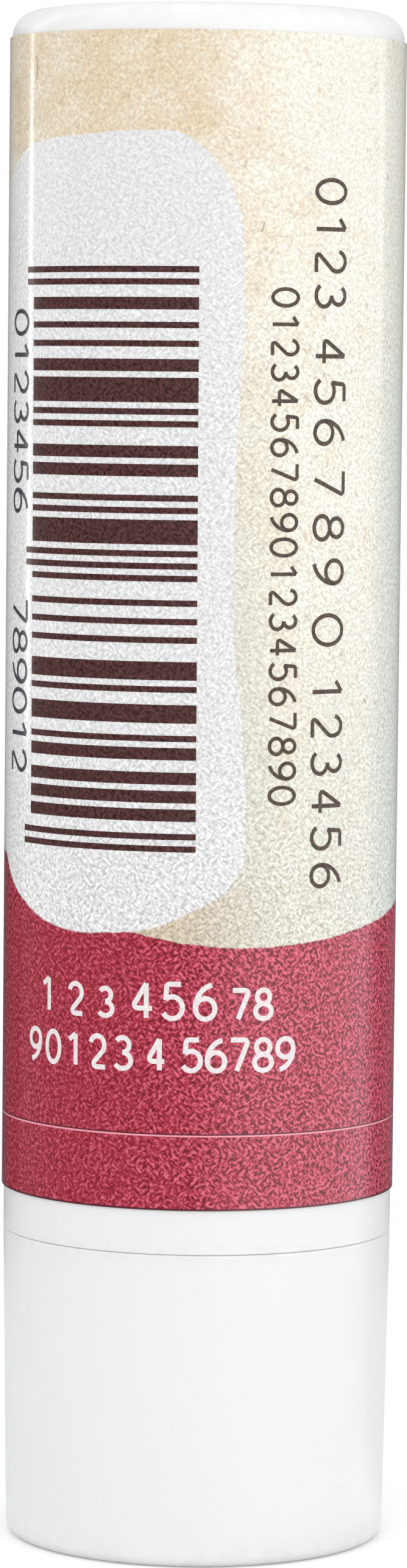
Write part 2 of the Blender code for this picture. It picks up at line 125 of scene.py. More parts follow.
def turned(name, profile, closed=False):
    """A round piece spun from its half section, in mm, with one vertex at each pole and faces outwards."""
    bm = bmesh.new()
    points = eased(profile, closed)
    ring = [bm.verts.new((radius * MM, 0, height * MM)) for radius, height in points]
    edges = [bm.edges.new(pair) for pair in zip(ring, ring[1:] + ring[:1] * closed)]
    bmesh.ops.spin(bm, geom=ring + edges, axis=(0, 0, 1), angle=math.tau, steps=TURN_STEPS, use_merge=True)
    bmesh.ops.remove_doubles(bm, verts=bm.verts, dist=MERGE)
    bmesh.ops.dissolve_degenerate(bm, edges=bm.edges, dist=MERGE)
    bmesh.ops.recalc_face_normals(bm, faces=bm.faces)
    mesh = bpy.data.meshes.new(name)
    bm.to_mesh(mesh)
    bm.free()
    return placed(name, smoothed(mesh))


def add_blocks(bm, size, middle, count, start=0.0):
    """A ring of equal blocks, sized radially, across and up. Middle is their centre's radius and height."""
    for i in range(count):
        turn = Matrix.Rotation(start + math.tau * i / count, 4, "Z")
        place = Matrix.Translation((middle[0] * MM, 0, middle[1] * MM))
        scale = Matrix.Diagonal((*[side * MM for side in size], 1))
        bmesh.ops.create_cube(bm, size=1, matrix=turn @ place @ scale)


def combine(piece, operation, bm):
    """Joins the shape in bm to a piece, or cuts it away, and keeps the result as the piece's plain mesh."""
    tool = placed("tool", bpy.data.meshes.new("tool"))
    bm.to_mesh(tool.data)
    bm.free()
    step = piece.modifiers.new(operation, "BOOLEAN")
    step.operation = operation
    step.object = tool
    step.solver = "EXACT"
    graph = bpy.context.evaluated_depsgraph_get()
    mesh = bpy.data.meshes.new_from_object(piece.evaluated_get(graph))
    piece.modifiers.clear()
    piece.data = smoothed(mesh)
    bpy.data.objects.remove(tool)


def tone(red, green, blue):
    """A colour as a picture shows it, from 0 to 255, as the linear colour that a shader takes."""
    levels = [part / 255 for part in (red, green, blue)]
    return (*[((x + 0.055) / 1.055) ** 2.4 if x > 0.04045 else x / 12.92 for x in levels], 1)


def wire(tree, kind, feeds=None, **settings):
    """Adds one node, sets it up and feeds its sockets, each from a value or from another node's output."""
    node = tree.nodes.new(kind)
    for setting, value in settings.items():
        setattr(node, setting, value)
    for socket, feed in (feeds or {}).items():
        if isinstance(feed, bpy.types.NodeSocket):
            tree.links.new(feed, node.inputs[socket])
        else:
            node.inputs[socket].default_value = feed
    return node


def flow(tree, kind, feeds=None, **settings):
    """Adds one node in the same way, and returns its first output."""
    return wire(tree, kind, feeds, **settings).outputs[0]


def calc(tree, operation, *values, kind="ShaderNodeMath"):
    """Works out one operation on its values, taken in turn."""
    return flow(tree, kind, dict(enumerate(values)), operation=operation)


def times(tree, first, second):
    return calc(tree, "MULTIPLY", first, second)


def minus(tree, first, second):
    return calc(tree, "SUBTRACT", first, second)


def mix(tree, share, low, high):
    """Blends from one colour to another."""
    return wire(tree, "ShaderNodeMix", {0: share, 6: low, 7: high}, data_type="RGBA").outputs[2]


def ramp(tree, value, low, high, start=0.0, end=1.0):
    """A smooth rise from start, where the value is at low, to end, where it is at high."""
    feeds = {"Value": value, "From Min": low, "From Max": high, "To Min": start, "To Max": end}
    return flow(tree, "ShaderNodeMapRange", feeds, interpolation_type="SMOOTHSTEP")


def noise(tree, place, per_mm, detail=2.0, distortion=0.0):
    """Cloudy noise from about 0.25 to 0.75, with so many features to the millimetre."""
    feeds = {"Vector": place, "Scale": per_mm, "Detail": detail, "Distortion": distortion}
    return flow(tree, "ShaderNodeTexNoise", feeds)


def scaled(tree, vector, share):
    """Multiplies all three parts of a place or a colour."""
    return flow(tree, "ShaderNodeVectorMath", {0: vector, "Scale": share}, operation="SCALE")


def in_mm(tree):
    """Places on the piece in millimetres, from its own object coordinates."""
    return scaled(tree, wire(tree, "ShaderNodeTexCoord").outputs["Object"], 1 / MM)


def split(tree, place):
    return wire(tree, "ShaderNodeSeparateXYZ", {0: place}).outputs


def group_of(kind, name, takes, gives):
    """A node group with named inputs and outputs, each given by its first value or by its kind of socket."""
    tree = bpy.data.node_groups.new(name, f"{kind}NodeTree")
    for side, sockets in (("INPUT", takes), ("OUTPUT", gives)):
        for label, value in sockets.items():
            sort = {float: "Float", int: "Int"}.get(type(value), value)
            socket = tree.interface.new_socket(label, in_out=side, socket_type=f"NodeSocket{sort}")
            if sort != value:
                socket.default_value = value
    return tree, tree.nodes.new("NodeGroupInput").outputs, tree.nodes.new("NodeGroupOutput").inputs


def use(tree, group, **feeds):
    """Places an effect in a material or another effect and returns its outputs."""
    named = {label.replace("_", " "): feed for label, feed in feeds.items()}
    return wire(tree, "ShaderNodeGroup", named, node_tree=group).outputs


# Uneven sheen of a moulded or cast skin: soft patches and fine grain
CLOUDY = (0.3, 0.7)
SKIN_GRAIN = 0.35
skin, given, made = group_of(
    "Shader", "moulded skin", {"Place": "Vector", "Patch per mm": 0.3, "Grain per mm": 5.0},
    {"Patches": "Float", "Height": "Float"},
)
patches = noise(skin, given["Place"], given["Patch per mm"], detail=3.0)
grain = noise(skin, given["Place"], given["Grain per mm"], detail=1.0)
skin.links.new(ramp(skin, patches, *CLOUDY), made["Patches"])
skin.links.new(calc(skin, "MULTIPLY_ADD", grain, SKIN_GRAIN, patches), made["Height"])

# Rubbed and soiled band beside a rim, broken up so that it isn't a drawn line
RUB_BREAKS = (0.35, 0.65)
rub, given, made = group_of(
    "Shader", "rim rub", {"Place": "Vector", "Level": 0.0, "Reach": 1.0}, {"Mask": "Float"}
)
away = calc(rub, "ABSOLUTE", minus(rub, split(rub, given["Place"])[2], given["Level"]))
near = ramp(rub, away, given["Reach"], 0.0)
broken = ramp(rub, noise(rub, given["Place"], per_mm=1.4, detail=3.0), *RUB_BREAKS)
rub.links.new(times(rub, near, broken), made["Mask"])

# Hairlines from handling, here and there: short faint strokes that lie round the stick where their stretch is
# above one, and along it where it is below one
HAIRLINE_CUT = (0.66, 0.72)
HANDLED_PATCHES = (0.5, 0.62)
scratch, given, made = group_of(
    "Shader", "hairlines", {"Place": "Vector", "Per mm": 0.6, "Stretch": 9.0}, {"Mask": "Float"}
)
stretch = flow(scratch, "ShaderNodeCombineXYZ", {0: 1.0, 1: 1.0, 2: given["Stretch"]})
drawn_out = calc(scratch, "MULTIPLY", given["Place"], stretch, kind="ShaderNodeVectorMath")
line = ramp(scratch, noise(scratch, drawn_out, given["Per mm"]), *HAIRLINE_CUT)
some = ramp(scratch, noise(scratch, given["Place"], per_mm=0.22, detail=1.0), *HANDLED_PATCHES)
scratch.links.new(times(scratch, line, some), made["Mask"])

# Grain of a coarse printed screen: short slanting strokes, that lean one way in some patches and the other
# way in the rest
LEAN_PATCHES = (0.42, 0.54)
STROKE_CONTRAST = (0.22, 0.78)
strokes, given, made = group_of(
    "Shader", "print grain", {"Place": "Vector", "Per mm": 6.5, "Stretch": 0.6}, {"Grain": "Float"}
)
x, y, _ = split(strokes, given["Place"])
rising = calc(strokes, "ADD", x, y)
falling = minus(strokes, x, y)
fields = []
for along, over, layer in ((rising, falling, 0.0), (falling, rising, 5.0)):
    slanted = flow(strokes, "ShaderNodeCombineXYZ", {
        0: times(strokes, along, given["Stretch"]), 1: over, 2: layer,
    })
    fields.append(noise(strokes, slanted, given["Per mm"], detail=1.0, distortion=0.15))
either = ramp(strokes, noise(strokes, given["Place"], per_mm=2.2, detail=0.0), *LEAN_PATCHES)
field = flow(strokes, "ShaderNodeMix", {0: either, 2: fields[0], 3: fields[1]})
strokes.links.new(ramp(strokes, field, *STROKE_CONTRAST), made["Grain"])

# A stray fibre: one short bent stroke. Its middle is across and up, and its turn is in radians.
FIBRE_BEND = 0.4
FIBRE_EDGE = (0.07, 0.02)
FIBRE_END = (0.0, 0.15)
fibre, given, made = group_of(
    "Shader", "stray fibre", {"Place": "Vector", "Middle": "Vector", "Turn": 0.0, "Length": 1.0},
    {"Mask": "Float"},
)
off = calc(fibre, "SUBTRACT", given["Place"], given["Middle"], kind="ShaderNodeVectorMath")
feeds = {"Vector": off, "Angle": given["Turn"]}
x, y, _ = split(fibre, flow(fibre, "ShaderNodeVectorRotate", feeds, rotation_type="Z_AXIS"))
bent = calc(fibre, "MULTIPLY_ADD", times(fibre, x, x), FIBRE_BEND, y)
half = times(fibre, given["Length"], 0.5)
line = ramp(fibre, calc(fibre, "ABSOLUTE", bent), *FIBRE_EDGE)
short = ramp(fibre, minus(fibre, half, calc(fibre, "ABSOLUTE", x)), *FIBRE_END)
fibre.links.new(times(fibre, line, short), made["Mask"])


def new_material(name, **values):
    """A Principled material with these plain values, and its node tree and shader."""
    material = bpy.data.materials.new(name)
    material.use_nodes = True
    shader = material.node_tree.nodes["Principled BSDF"].inputs
    for label, value in values.items():
        shader[label.replace("_", " ")].default_value = value
    return material, material.node_tree, shader


def add_bump(tree, shader, height, depth):
    """Bumps a surface by a height, to a depth in mm."""
    feeds = {"Height": height, "Strength": 1.0, "Distance": depth * MM}
    tree.links.new(flow(tree, "ShaderNodeBump", feeds), shader["Normal"])


RUB_SHARE = 0.3
RUB_DULLING = 0.08
MARK_SHARE = 0.15
MARK_DULLING = 0.12
MARK_DEPTH = -0.2
GLOSSY_PATCH = -0.05
MATT_PATCH = 0.06


def moulded(name, colour, shade, rubbed, rims, roughness, bump):
    """A moulded plastic: colour, shade in patches, rubbed rims by height and reach, roughness and bumps."""
    material, tree, shader = new_material(name)
    place = in_mm(tree)
    finish = use(tree, skin, Place=place, Patch_per_mm=0.28, Grain_per_mm=6.0)
    paint = mix(tree, finish["Patches"], colour, shade)
    worn = 0.0
    for level, reach in rims:
        worn = calc(tree, "MAXIMUM", worn, use(tree, rub, Place=place, Level=level, Reach=reach)["Mask"])
    marks = use(tree, scratch, Place=place, Per_mm=0.6, Stretch=9.0)["Mask"]
    paint = mix(tree, times(tree, worn, RUB_SHARE), paint, rubbed)
    tree.links.new(mix(tree, times(tree, marks, MARK_SHARE), paint, rubbed), shader["Base Color"])
    rough = ramp(tree, finish["Patches"], 0.0, 1.0, roughness + GLOSSY_PATCH, roughness + MATT_PATCH)
    rough = calc(tree, "MULTIPLY_ADD", marks, MARK_DULLING, rough)
    tree.links.new(calc(tree, "MULTIPLY_ADD", worn, RUB_DULLING, rough), shader["Roughness"])
    add_bump(tree, shader, calc(tree, "MULTIPLY_ADD", marks, MARK_DEPTH, finish["Height"]), bump)
    return material


SHELL_WHITE = tone(235, 236, 236)
SHELL_SHADE = tone(234, 235, 236)
SHELL_RUBBED = tone(219, 217, 214)
SHELL_RIMS = ((0.3, 1.1), (13.78, 0.7), (67.6, 1.4))
SHELL_ROUGHNESS = 0.3
SHELL_BUMP = 0.0007
shell_plastic = moulded(
    "shell_plastic", SHELL_WHITE, SHELL_SHADE, SHELL_RUBBED, SHELL_RIMS, SHELL_ROUGHNESS, SHELL_BUMP
)

foot_radius = SHELL_RADIUS - DIAL_TAPER
land_radius = foot_radius - DIAL_FOOT_FILLET - DIAL_FOOT_LAND
gate_z = DIAL_FOOT_RECESS + GATE_DEPTH
profile = [(0, DIAL_HUB_Z), (DIAL_HUB_RADIUS, DIAL_HUB_Z), (DIAL_HUB_RADIUS, DIAL_FLOOR_Z)]
profile += [(DIAL_BORE, DIAL_FLOOR_Z)]
profile += ridge(DIAL_BORE, -DIAL_CATCH_HEIGHT, DIAL_CATCH_Z, DIAL_CATCH_HALF, True)
profile += [(DIAL_BORE, DIAL_HEIGHT - DIAL_TOP_FILLET), (DIAL_BORE + DIAL_TOP_FILLET, DIAL_HEIGHT)]
profile += arc((SHELL_RADIUS - DIAL_TOP_FILLET, DIAL_HEIGHT - DIAL_TOP_FILLET), DIAL_TOP_FILLET, 90, 0)
profile += arc((foot_radius - DIAL_FOOT_FILLET, DIAL_FOOT_FILLET), DIAL_FOOT_FILLET, 0, -90)
profile += [(land_radius, 0), (land_radius - DIAL_FOOT_RECESS, DIAL_FOOT_RECESS)]
profile += [(GATE_RADIUS, DIAL_FOOT_RECESS), (GATE_RADIUS, gate_z), (GATE_NUB_RADIUS, gate_z)]
profile += [(GATE_NUB_RADIUS, DIAL_FOOT_RECESS), (0, DIAL_FOOT_RECESS)]
base_shell = turned("base_shell", profile)

ribs = bmesh.new()
rib_low = DIAL_FLOOR_Z - OVERRUN
rib_length = DIAL_BORE - DIAL_HUB_RADIUS + 2 * OVERRUN
add_blocks(
    ribs, (rib_length, DIAL_RIB_THICKNESS, DIAL_RIB_TOP_Z - rib_low),
    ((DIAL_BORE + DIAL_HUB_RADIUS) / 2, (DIAL_RIB_TOP_Z + rib_low) / 2), DIAL_RIBS,
)
combine(base_shell, "UNION", ribs)
socket = bmesh.new()
socket_top = DIAL_HUB_Z + OVERRUN
bmesh.ops.create_cone(
    socket, cap_ends=True, segments=DIAL_SOCKET_SIDES, radius1=DIAL_SOCKET_RADIUS * MM,
    radius2=DIAL_SOCKET_RADIUS * MM, depth=(socket_top - DIAL_FLOOR_Z) * MM,
    matrix=Matrix.Translation((0, 0, (socket_top + DIAL_FLOOR_Z) / 2 * MM)),
)
combine(base_shell, "DIFFERENCE", socket)
base_shell.data.materials.append(shell_plastic)
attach(base_shell, "dial")
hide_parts("base_dial")

# The screw and the wax carrier: unpolished natural plastic, moulded to the shapes that the frame already has.
# The screw is pushed into the base's socket, and the carrier rides up its thread.
INNER_WHITE = tone(226, 225, 219)
INNER_SHADE = tone(214, 212, 203)
INNER_RUBBED = tone(196, 192, 180)
INNER_RIMS = ((13.5, 0.6), (58.4, 1.0))
INNER_ROUGHNESS = 0.46
INNER_BUMP = 0.0025
inner_plastic = moulded(
    "inner_plastic", INNER_WHITE, INNER_SHADE, INNER_RUBBED, INNER_RIMS, INNER_ROUGHNESS, INNER_BUMP
)
for node in ("spindle", "elevator"):
    nodes[node].material_slots[0].material = inner_plastic

# The barrel: one white moulding with a collar that shows below the cap, a seat that grips the cap, four keys
# in its bore for the carrier, and a beaded neck that the base snaps over.
COLLAR_BASE_Z = 13.8
COLLAR_TOP_Z = 19.0
COLLAR_CHAMFER = 0.1
COLLAR_FOOT_ROUND = 0.06
BARREL_RADIUS = 7.45
BARREL_RIM_Z = 60.6
RIM_ROUND = 0.25
BORE = 6.7
SEAT_RADIUS = 7.6
SEAT_TOP_Z = 22.2
SEAT_RAMP = 0.5
SEAT_BEAD_Z = 21.3
SEAT_BEAD_HALF = 0.4
SEAT_BEAD_HEIGHT = 0.04
NECK_RADIUS = 7.35
NECK_BASE_Z = 6.0
NECK_CHAMFER = 0.2
NECK_BEAD_Z = 7.0
NECK_BEAD_HALF = 0.6
NECK_BEAD_HEIGHT = 0.17
KEYS = 4
KEY_WIDTH = 0.8
KEY_RADIUS = 6.3
KEY_TOP_Z = 58.6

profile = arc((BARREL_RADIUS - RIM_ROUND, BARREL_RIM_Z - RIM_ROUND), RIM_ROUND, 90, 0)
profile += [(BARREL_RADIUS, SEAT_TOP_Z + SEAT_RAMP), (SEAT_RADIUS, SEAT_TOP_Z)]
profile += ridge(SEAT_RADIUS, SEAT_BEAD_HEIGHT, SEAT_BEAD_Z, SEAT_BEAD_HALF, False)
profile += [(SEAT_RADIUS, COLLAR_TOP_Z), (SHELL_RADIUS - COLLAR_CHAMFER, COLLAR_TOP_Z)]
profile += [(SHELL_RADIUS, COLLAR_TOP_Z - COLLAR_CHAMFER)]
round_middle = (SHELL_RADIUS - COLLAR_FOOT_ROUND, COLLAR_BASE_Z + COLLAR_FOOT_ROUND)
profile += arc(round_middle, COLLAR_FOOT_ROUND, 0, -90)
profile += [(NECK_RADIUS, COLLAR_BASE_Z)]
profile += ridge(NECK_RADIUS, NECK_BEAD_HEIGHT, NECK_BEAD_Z, NECK_BEAD_HALF, False)
profile += [(NECK_RADIUS, NECK_BASE_Z + NECK_CHAMFER), (NECK_RADIUS - NECK_CHAMFER, NECK_BASE_Z)]
profile += [(BORE, NECK_BASE_Z), (BORE, BARREL_RIM_Z - RIM_ROUND), (BORE + RIM_ROUND, BARREL_RIM_Z)]
barrel_tube = turned("barrel_tube", profile, closed=True)
keys = bmesh.new()
key_depth = BORE + OVERRUN - KEY_RADIUS
add_blocks(
    keys, (key_depth, KEY_WIDTH, KEY_TOP_Z - COLLAR_BASE_Z),
    (KEY_RADIUS + key_depth / 2, (KEY_TOP_Z + COLLAR_BASE_Z) / 2), KEYS,
)
combine(barrel_tube, "UNION", keys)
barrel_tube.data.materials.append(shell_plastic)
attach(barrel_tube, "barrel")
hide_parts("barrel")

# The wax: cast round the screw and into the carrier's cup, with a low dome on top, grooves where the keys
# pass and a skin that is faintly dimpled from setting.
WAX_RADIUS = 6.6
WAX_EDGE_Z = 60.3
WAX_DOME = 1.4
WAX_EDGE_ROUND = 0.3
WAX_CUP_RADIUS = 5.8
WAX_CUP_LOW_Z = 14.9
WAX_CUP_HIGH_Z = 17.9
WAX_HUB_RADIUS = 3.2
WAX_CORE_RADIUS = 2.2
WAX_CORE_TOP_Z = 58.4
WAX_TIP_GAP = 0.6
NOTCH_RADIUS = 6.2
NOTCH_WIDTH = 1.1
FIN_SLOT_WIDTH = 0.9
FIN_SLOT_Z = (14.8, 16.9)
FIN_SLOT_RADII = (3.1, 5.9)

edge_radius = WAX_RADIUS - WAX_EDGE_ROUND
dome_radius = (edge_radius ** 2 + WAX_DOME ** 2) / (2 * WAX_DOME)
dome_angle = math.degrees(math.asin(edge_radius / dome_radius))
dome_top_z = WAX_EDGE_Z + WAX_DOME
profile = [(0, dome_top_z)]
profile += arc((0, dome_top_z - dome_radius), dome_radius, 90, 90 - dome_angle, 2 * ROUND_STEPS)[1:]
profile += arc((edge_radius, WAX_EDGE_Z - WAX_EDGE_ROUND), WAX_EDGE_ROUND, 90 - dome_angle, 0)[1:]
profile += [(WAX_RADIUS, WAX_CUP_HIGH_Z), (WAX_CUP_RADIUS, WAX_CUP_HIGH_Z), (WAX_CUP_RADIUS, WAX_CUP_LOW_Z)]
profile += [(WAX_HUB_RADIUS, WAX_CUP_LOW_Z), (WAX_HUB_RADIUS, WAX_CUP_HIGH_Z)]
profile += [(WAX_CORE_RADIUS, WAX_CUP_HIGH_Z), (WAX_CORE_RADIUS, WAX_CORE_TOP_Z)]
profile += [(0, WAX_CORE_TOP_Z + WAX_TIP_GAP)]
wax_stick = turned("wax_stick", profile)
grooves = bmesh.new()
notch_reach = WAX_RADIUS + OVERRUN - NOTCH_RADIUS
groove_top = BARREL_RIM_Z + OVERRUN
groove_low = WAX_CUP_HIGH_Z - OVERRUN
add_blocks(
    grooves, (notch_reach, NOTCH_WIDTH, groove_top - groove_low),
    (NOTCH_RADIUS + notch_reach / 2, (groove_top + groove_low) / 2), KEYS,
)
combine(wax_stick, "DIFFERENCE", grooves)
slots = bmesh.new()
add_blocks(
    slots, (FIN_SLOT_RADII[1] - FIN_SLOT_RADII[0], FIN_SLOT_WIDTH, FIN_SLOT_Z[1] - FIN_SLOT_Z[0]),
    (sum(FIN_SLOT_RADII) / 2, sum(FIN_SLOT_Z) / 2), KEYS, math.pi / KEYS,
)
combine(wax_stick, "DIFFERENCE", slots)

WAX_IVORY = tone(240, 231, 206)
WAX_DEEP = tone(232, 219, 186)
WAX_BLOOM = tone(246, 242, 228)
BLOOM_PATCHES = (0.55, 0.75, 0.0, 0.6)
WAX_PITS = (0.62, 0.72)
WAX_GLOSSY = 0.4
WAX_MATT = 0.55
WAX_PIT_DEPTH = -1.5
WAX_BUMP = 0.012
WAX_SCATTER = 0.25
WAX_SCATTER_REACH = (0.0012, 0.0009, 0.0005)
balm_wax, tree, shader = new_material(
    "balm_wax", Subsurface_Weight=WAX_SCATTER, Subsurface_Radius=WAX_SCATTER_REACH, Subsurface_Scale=1.0
)
place = in_mm(tree)
finish = use(tree, skin, Place=place, Patch_per_mm=0.35, Grain_per_mm=3.0)
paint = mix(tree, finish["Patches"], WAX_IVORY, WAX_DEEP)
bloom = ramp(tree, noise(tree, place, per_mm=1.1, detail=4.0), *BLOOM_PATCHES)
tree.links.new(mix(tree, bloom, paint, WAX_BLOOM), shader["Base Color"])
tree.links.new(ramp(tree, finish["Patches"], 0.0, 1.0, WAX_GLOSSY, WAX_MATT), shader["Roughness"])
pits = ramp(tree, noise(tree, place, per_mm=1.6), *WAX_PITS)
add_bump(tree, shader, calc(tree, "MULTIPLY_ADD", pits, WAX_PIT_DEPTH, finish["Height"]), WAX_BUMP)
wax_stick.data.materials.append(balm_wax)
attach(wax_stick, "elevator")
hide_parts("balm_stick")

# The cap: a white cup with a rounded shoulder, a bead inside its mouth and a gate mark on its crown. It pulls
# off the barrel, and its mouth stands on the collar.
CAP_BASE_Z = 19.1
CAP_TOP_Z = 67.7
CAP_BORE = 7.75
CAP_ROOF = 1.2
CAP_BORE_DRAFT = 0.1
CAP_TOP_FILLET = 1.2
CAP_ROOF_FILLET = 0.6
CAP_RIM_CHAMFER = 0.12
CAP_BEAD_Z = 20.2
CAP_BEAD_HALF = 0.45
CAP_BEAD_HEIGHT = 0.06

roof_z = CAP_TOP_Z - CAP_ROOF
roof_bore = CAP_BORE - CAP_BORE_DRAFT
profile = [(0, CAP_TOP_Z - GATE_DEPTH / 2), (GATE_NUB_RADIUS, CAP_TOP_Z - GATE_DEPTH / 2)]
profile += [(GATE_NUB_RADIUS, CAP_TOP_Z - GATE_DEPTH), (GATE_RADIUS, CAP_TOP_Z - GATE_DEPTH)]
profile += [(GATE_RADIUS, CAP_TOP_Z)]
shoulder = (SHELL_RADIUS - CAP_TOP_FILLET, CAP_TOP_Z - CAP_TOP_FILLET)
profile += arc(shoulder, CAP_TOP_FILLET, 90, 0, 2 * ROUND_STEPS)
profile += [(SHELL_RADIUS, CAP_BASE_Z + CAP_RIM_CHAMFER), (SHELL_RADIUS - CAP_RIM_CHAMFER, CAP_BASE_Z)]
profile += [(CAP_BORE + CAP_RIM_CHAMFER, CAP_BASE_Z), (CAP_BORE, CAP_BASE_Z + CAP_RIM_CHAMFER)]
profile += ridge(CAP_BORE, -CAP_BEAD_HEIGHT, CAP_BEAD_Z, CAP_BEAD_HALF, True)
profile += arc((roof_bore - CAP_ROOF_FILLET, roof_z - CAP_ROOF_FILLET), CAP_ROOF_FILLET, 0, 90)
profile += [(0, roof_z)]
cap_shell = turned("cap_shell", profile)
cap_shell.data.materials.append(shell_plastic)
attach(cap_shell, "cap")
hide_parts("cap")

# The label: one strip of printed film wrapped round the stick, its end lapped over its start at the back
# left, then cut where the cap meets the collar. Its lower part stays on the collar, the rest on the cap.
FILM_INNER = 8.67
FILM_THICKNESS = 0.07
FILM_LAP = 0.1
FILM_START = math.radians(142.5)
FILM_OVERLAP = 2.2
FILM_TURN = math.tau + FILM_OVERLAP / FILM_INNER
FILM_RAMP = (0.86, 0.945)
FILM_COLUMNS = 301
FILM_SLANT = -0.045
PRINT_RADIUS = FILM_INNER + FILM_THICKNESS
FRONT = math.radians(270)


def grown(name, tree, mesh, **values):
    """Runs a geometry tree on a starting mesh, with its inputs set by their names, and keeps a plain mesh."""
    source = placed(name, mesh)
    modifier = source.modifiers.new(name, "NODES")
    modifier.node_group = tree
    named = {label.replace("_", " "): value for label, value in values.items()}
    for item in tree.interface.items_tree:
        if item.in_out == "INPUT" and item.name in named:
            modifier[item.identifier] = named[item.name]
    graph = bpy.context.evaluated_depsgraph_get()
    grown_mesh = bpy.data.meshes.new_from_object(source.evaluated_get(graph))
    bpy.data.objects.remove(source)
    grown_mesh.name = name
    return placed(name, smoothed(grown_mesh))


def finished(tree, geometry, material, made):
    """Ends a geometry tree, with the material on its mesh."""
    painted = flow(tree, "GeometryNodeSetMaterial", {"Geometry": geometry, "Material": material})
    tree.links.new(painted, made["Geometry"])


def thickened(tree, sheet, thickness, merge):
    """Gives an open sheet a closed thickness on the side that its faces look to."""
    feeds = {"Mesh": sheet, "Offset Scale": thickness, "Individual": False}
    outer = flow(tree, "GeometryNodeExtrudeMesh", feeds, mode="FACES")
    under = flow(tree, "GeometryNodeFlipFaces", {"Mesh": sheet})
    both = tree.nodes.new("GeometryNodeJoinGeometry")
    tree.links.new(outer, both.inputs[0])
    tree.links.new(under, both.inputs[0])
    feeds = {"Geometry": both.outputs[0], "Distance": merge}
    return flow(tree, "GeometryNodeMergeByDistance", feeds)


def keep_print(tree, flat, across, up, share=0.0):
    """Stores each point's place on the unrolled print, in mm, before the sheet is bent."""
    printed = flow(tree, "ShaderNodeCombineXYZ", {0: across, 1: up, 2: share})
    feeds = {"Geometry": flat, "Name": "print", "Value": printed}
    return flow(tree, "GeometryNodeStoreNamedAttribute", feeds, data_type="FLOAT_VECTOR")


film_tree, given, made = group_of("Geometry", "wrapped film", {
    "Geometry": "Geometry", "Foot": 0.0, "Top": 1.0, "Inner radius": 1.0, "Thickness": 0.1, "Lap": 0.1,
    "Start": 0.0, "Turn": math.tau, "Slant": 0.0, "Columns": 3, "Rows": 2, "Material": "Material",
}, {"Geometry": "Geometry"})
sheet = flow(film_tree, "GeometryNodeMeshGrid", {
    "Size X": 1.0, "Size Y": 1.0, "Vertices X": given["Columns"], "Vertices Y": given["Rows"],
})
across, up, _ = split(film_tree, flow(film_tree, "GeometryNodeInputPosition"))
share = calc(film_tree, "ADD", across, 0.5)
angle = calc(film_tree, "MULTIPLY_ADD", share, given["Turn"], given["Start"])
lapped = ramp(film_tree, share, *FILM_RAMP)
radius = calc(film_tree, "MULTIPLY_ADD", lapped, given["Lap"], given["Inner radius"])
edge = calc(film_tree, "MULTIPLY_ADD", calc(film_tree, "COSINE", angle), given["Slant"], given["Top"])
height = minus(film_tree, edge, given["Foot"])
height = calc(film_tree, "MULTIPLY_ADD", calc(film_tree, "ADD", up, 0.5), height, given["Foot"])
place = flow(film_tree, "ShaderNodeCombineXYZ", {
    0: times(film_tree, radius, calc(film_tree, "COSINE", angle)),
    1: times(film_tree, radius, calc(film_tree, "SINE", angle)),
    2: height,
})
along = times(film_tree, minus(film_tree, angle, FRONT), PRINT_RADIUS)
sheet = keep_print(film_tree, sheet, along, calc(film_tree, "DIVIDE", height, MM), share)
sheet = flow(film_tree, "GeometryNodeSetPosition", {"Geometry": sheet, "Position": place})
film = thickened(film_tree, sheet, given["Thickness"], MERGE)
finished(film_tree, film, given["Material"], made)

# Printed ground of the film: a tan paper look that pales to the right, partly as painted light, a near-white
# panel with painted light towards its left, and a raspberry foot with a waved edge, with painted light on its
# right and painted shade on its left. Across and up are in mm, from the middle of the front and from
# the stick's foot.
PRINT_GRAIN = 5.8
GROUND_TAN = tone(224, 203, 172)
GROUND_PALE_AND_PAINTED_LIGHT = tone(239, 237, 225)
GROUND_DULL = tone(214, 213, 202)
# A grey, slightly green tint for a painted reflection at the right edge of the front
GROUND_PAINTED_REFLECTION = tone(227, 232, 226)
GROUND_TOAST = tone(198, 174, 140)
GROUND_FLECK = tone(176, 156, 128)
FIBRE_BROWN = tone(150, 128, 106)
FIBRE_SHARE = 0.7
FIBRES = (((-8.8, 65.0, 0), 1.5, 1.2), ((8.3, 37.7, 0), 0.8, 0.45), ((2.45, 58.1, 0), 1.9, 0.6))
PANEL_WHITE = tone(225, 225, 226)
# The panel with painted light, for its left side
PANEL_PAINTED_LIGHT = tone(233, 233, 233)
RASPBERRY = tone(160, 36, 57)
# Raspberry with painted light, for the right of the front, and with painted shade, for its left
RASPBERRY_PAINTED_LIGHT = tone(184, 48, 78)
RASPBERRY_PAINTED_SHADE = tone(134, 26, 48)
RASPBERRY_LIGHT = tone(221, 103, 128)
RASPBERRY_DEEP = tone(106, 4, 24)
# A dark raspberry for edges: the painted shadow at the foot of the cap's film, and the dark line along the
# label's foot
RASPBERRY_EDGE = tone(84, 18, 38)
# Pale cut edge: the film's bare core, and a painted highlight where light catches it
CUT_EDGE_AND_PAINTED_HIGHLIGHT = tone(240, 158, 172)
COLLAR_CUT_Z = 19.04
CAP_CUT_Z = 19.052
LABEL_FOOT_Z = 15.75
LABEL_TOP_Z = 66.45
COLLAR_ROWS = 5
CAP_ROWS = 25
LABEL_GLOSSY = 0.1
LABEL_MATT = 0.15
LABEL_BUMP = 0.002
SPECK_HEIGHT = 0.12
EDGE_TREMBLE = 0.12
SPECK_PER_MM = 5.5
BLOTCH_PER_MM = 0.55
WARM_BLOTCH = 1.4
WARM_SPECK = 2.0
DULL_SPECK = 1.4
DULL_SHARE = 0.6
FLECKS = (0.64, 0.72, 0.0, 0.4)
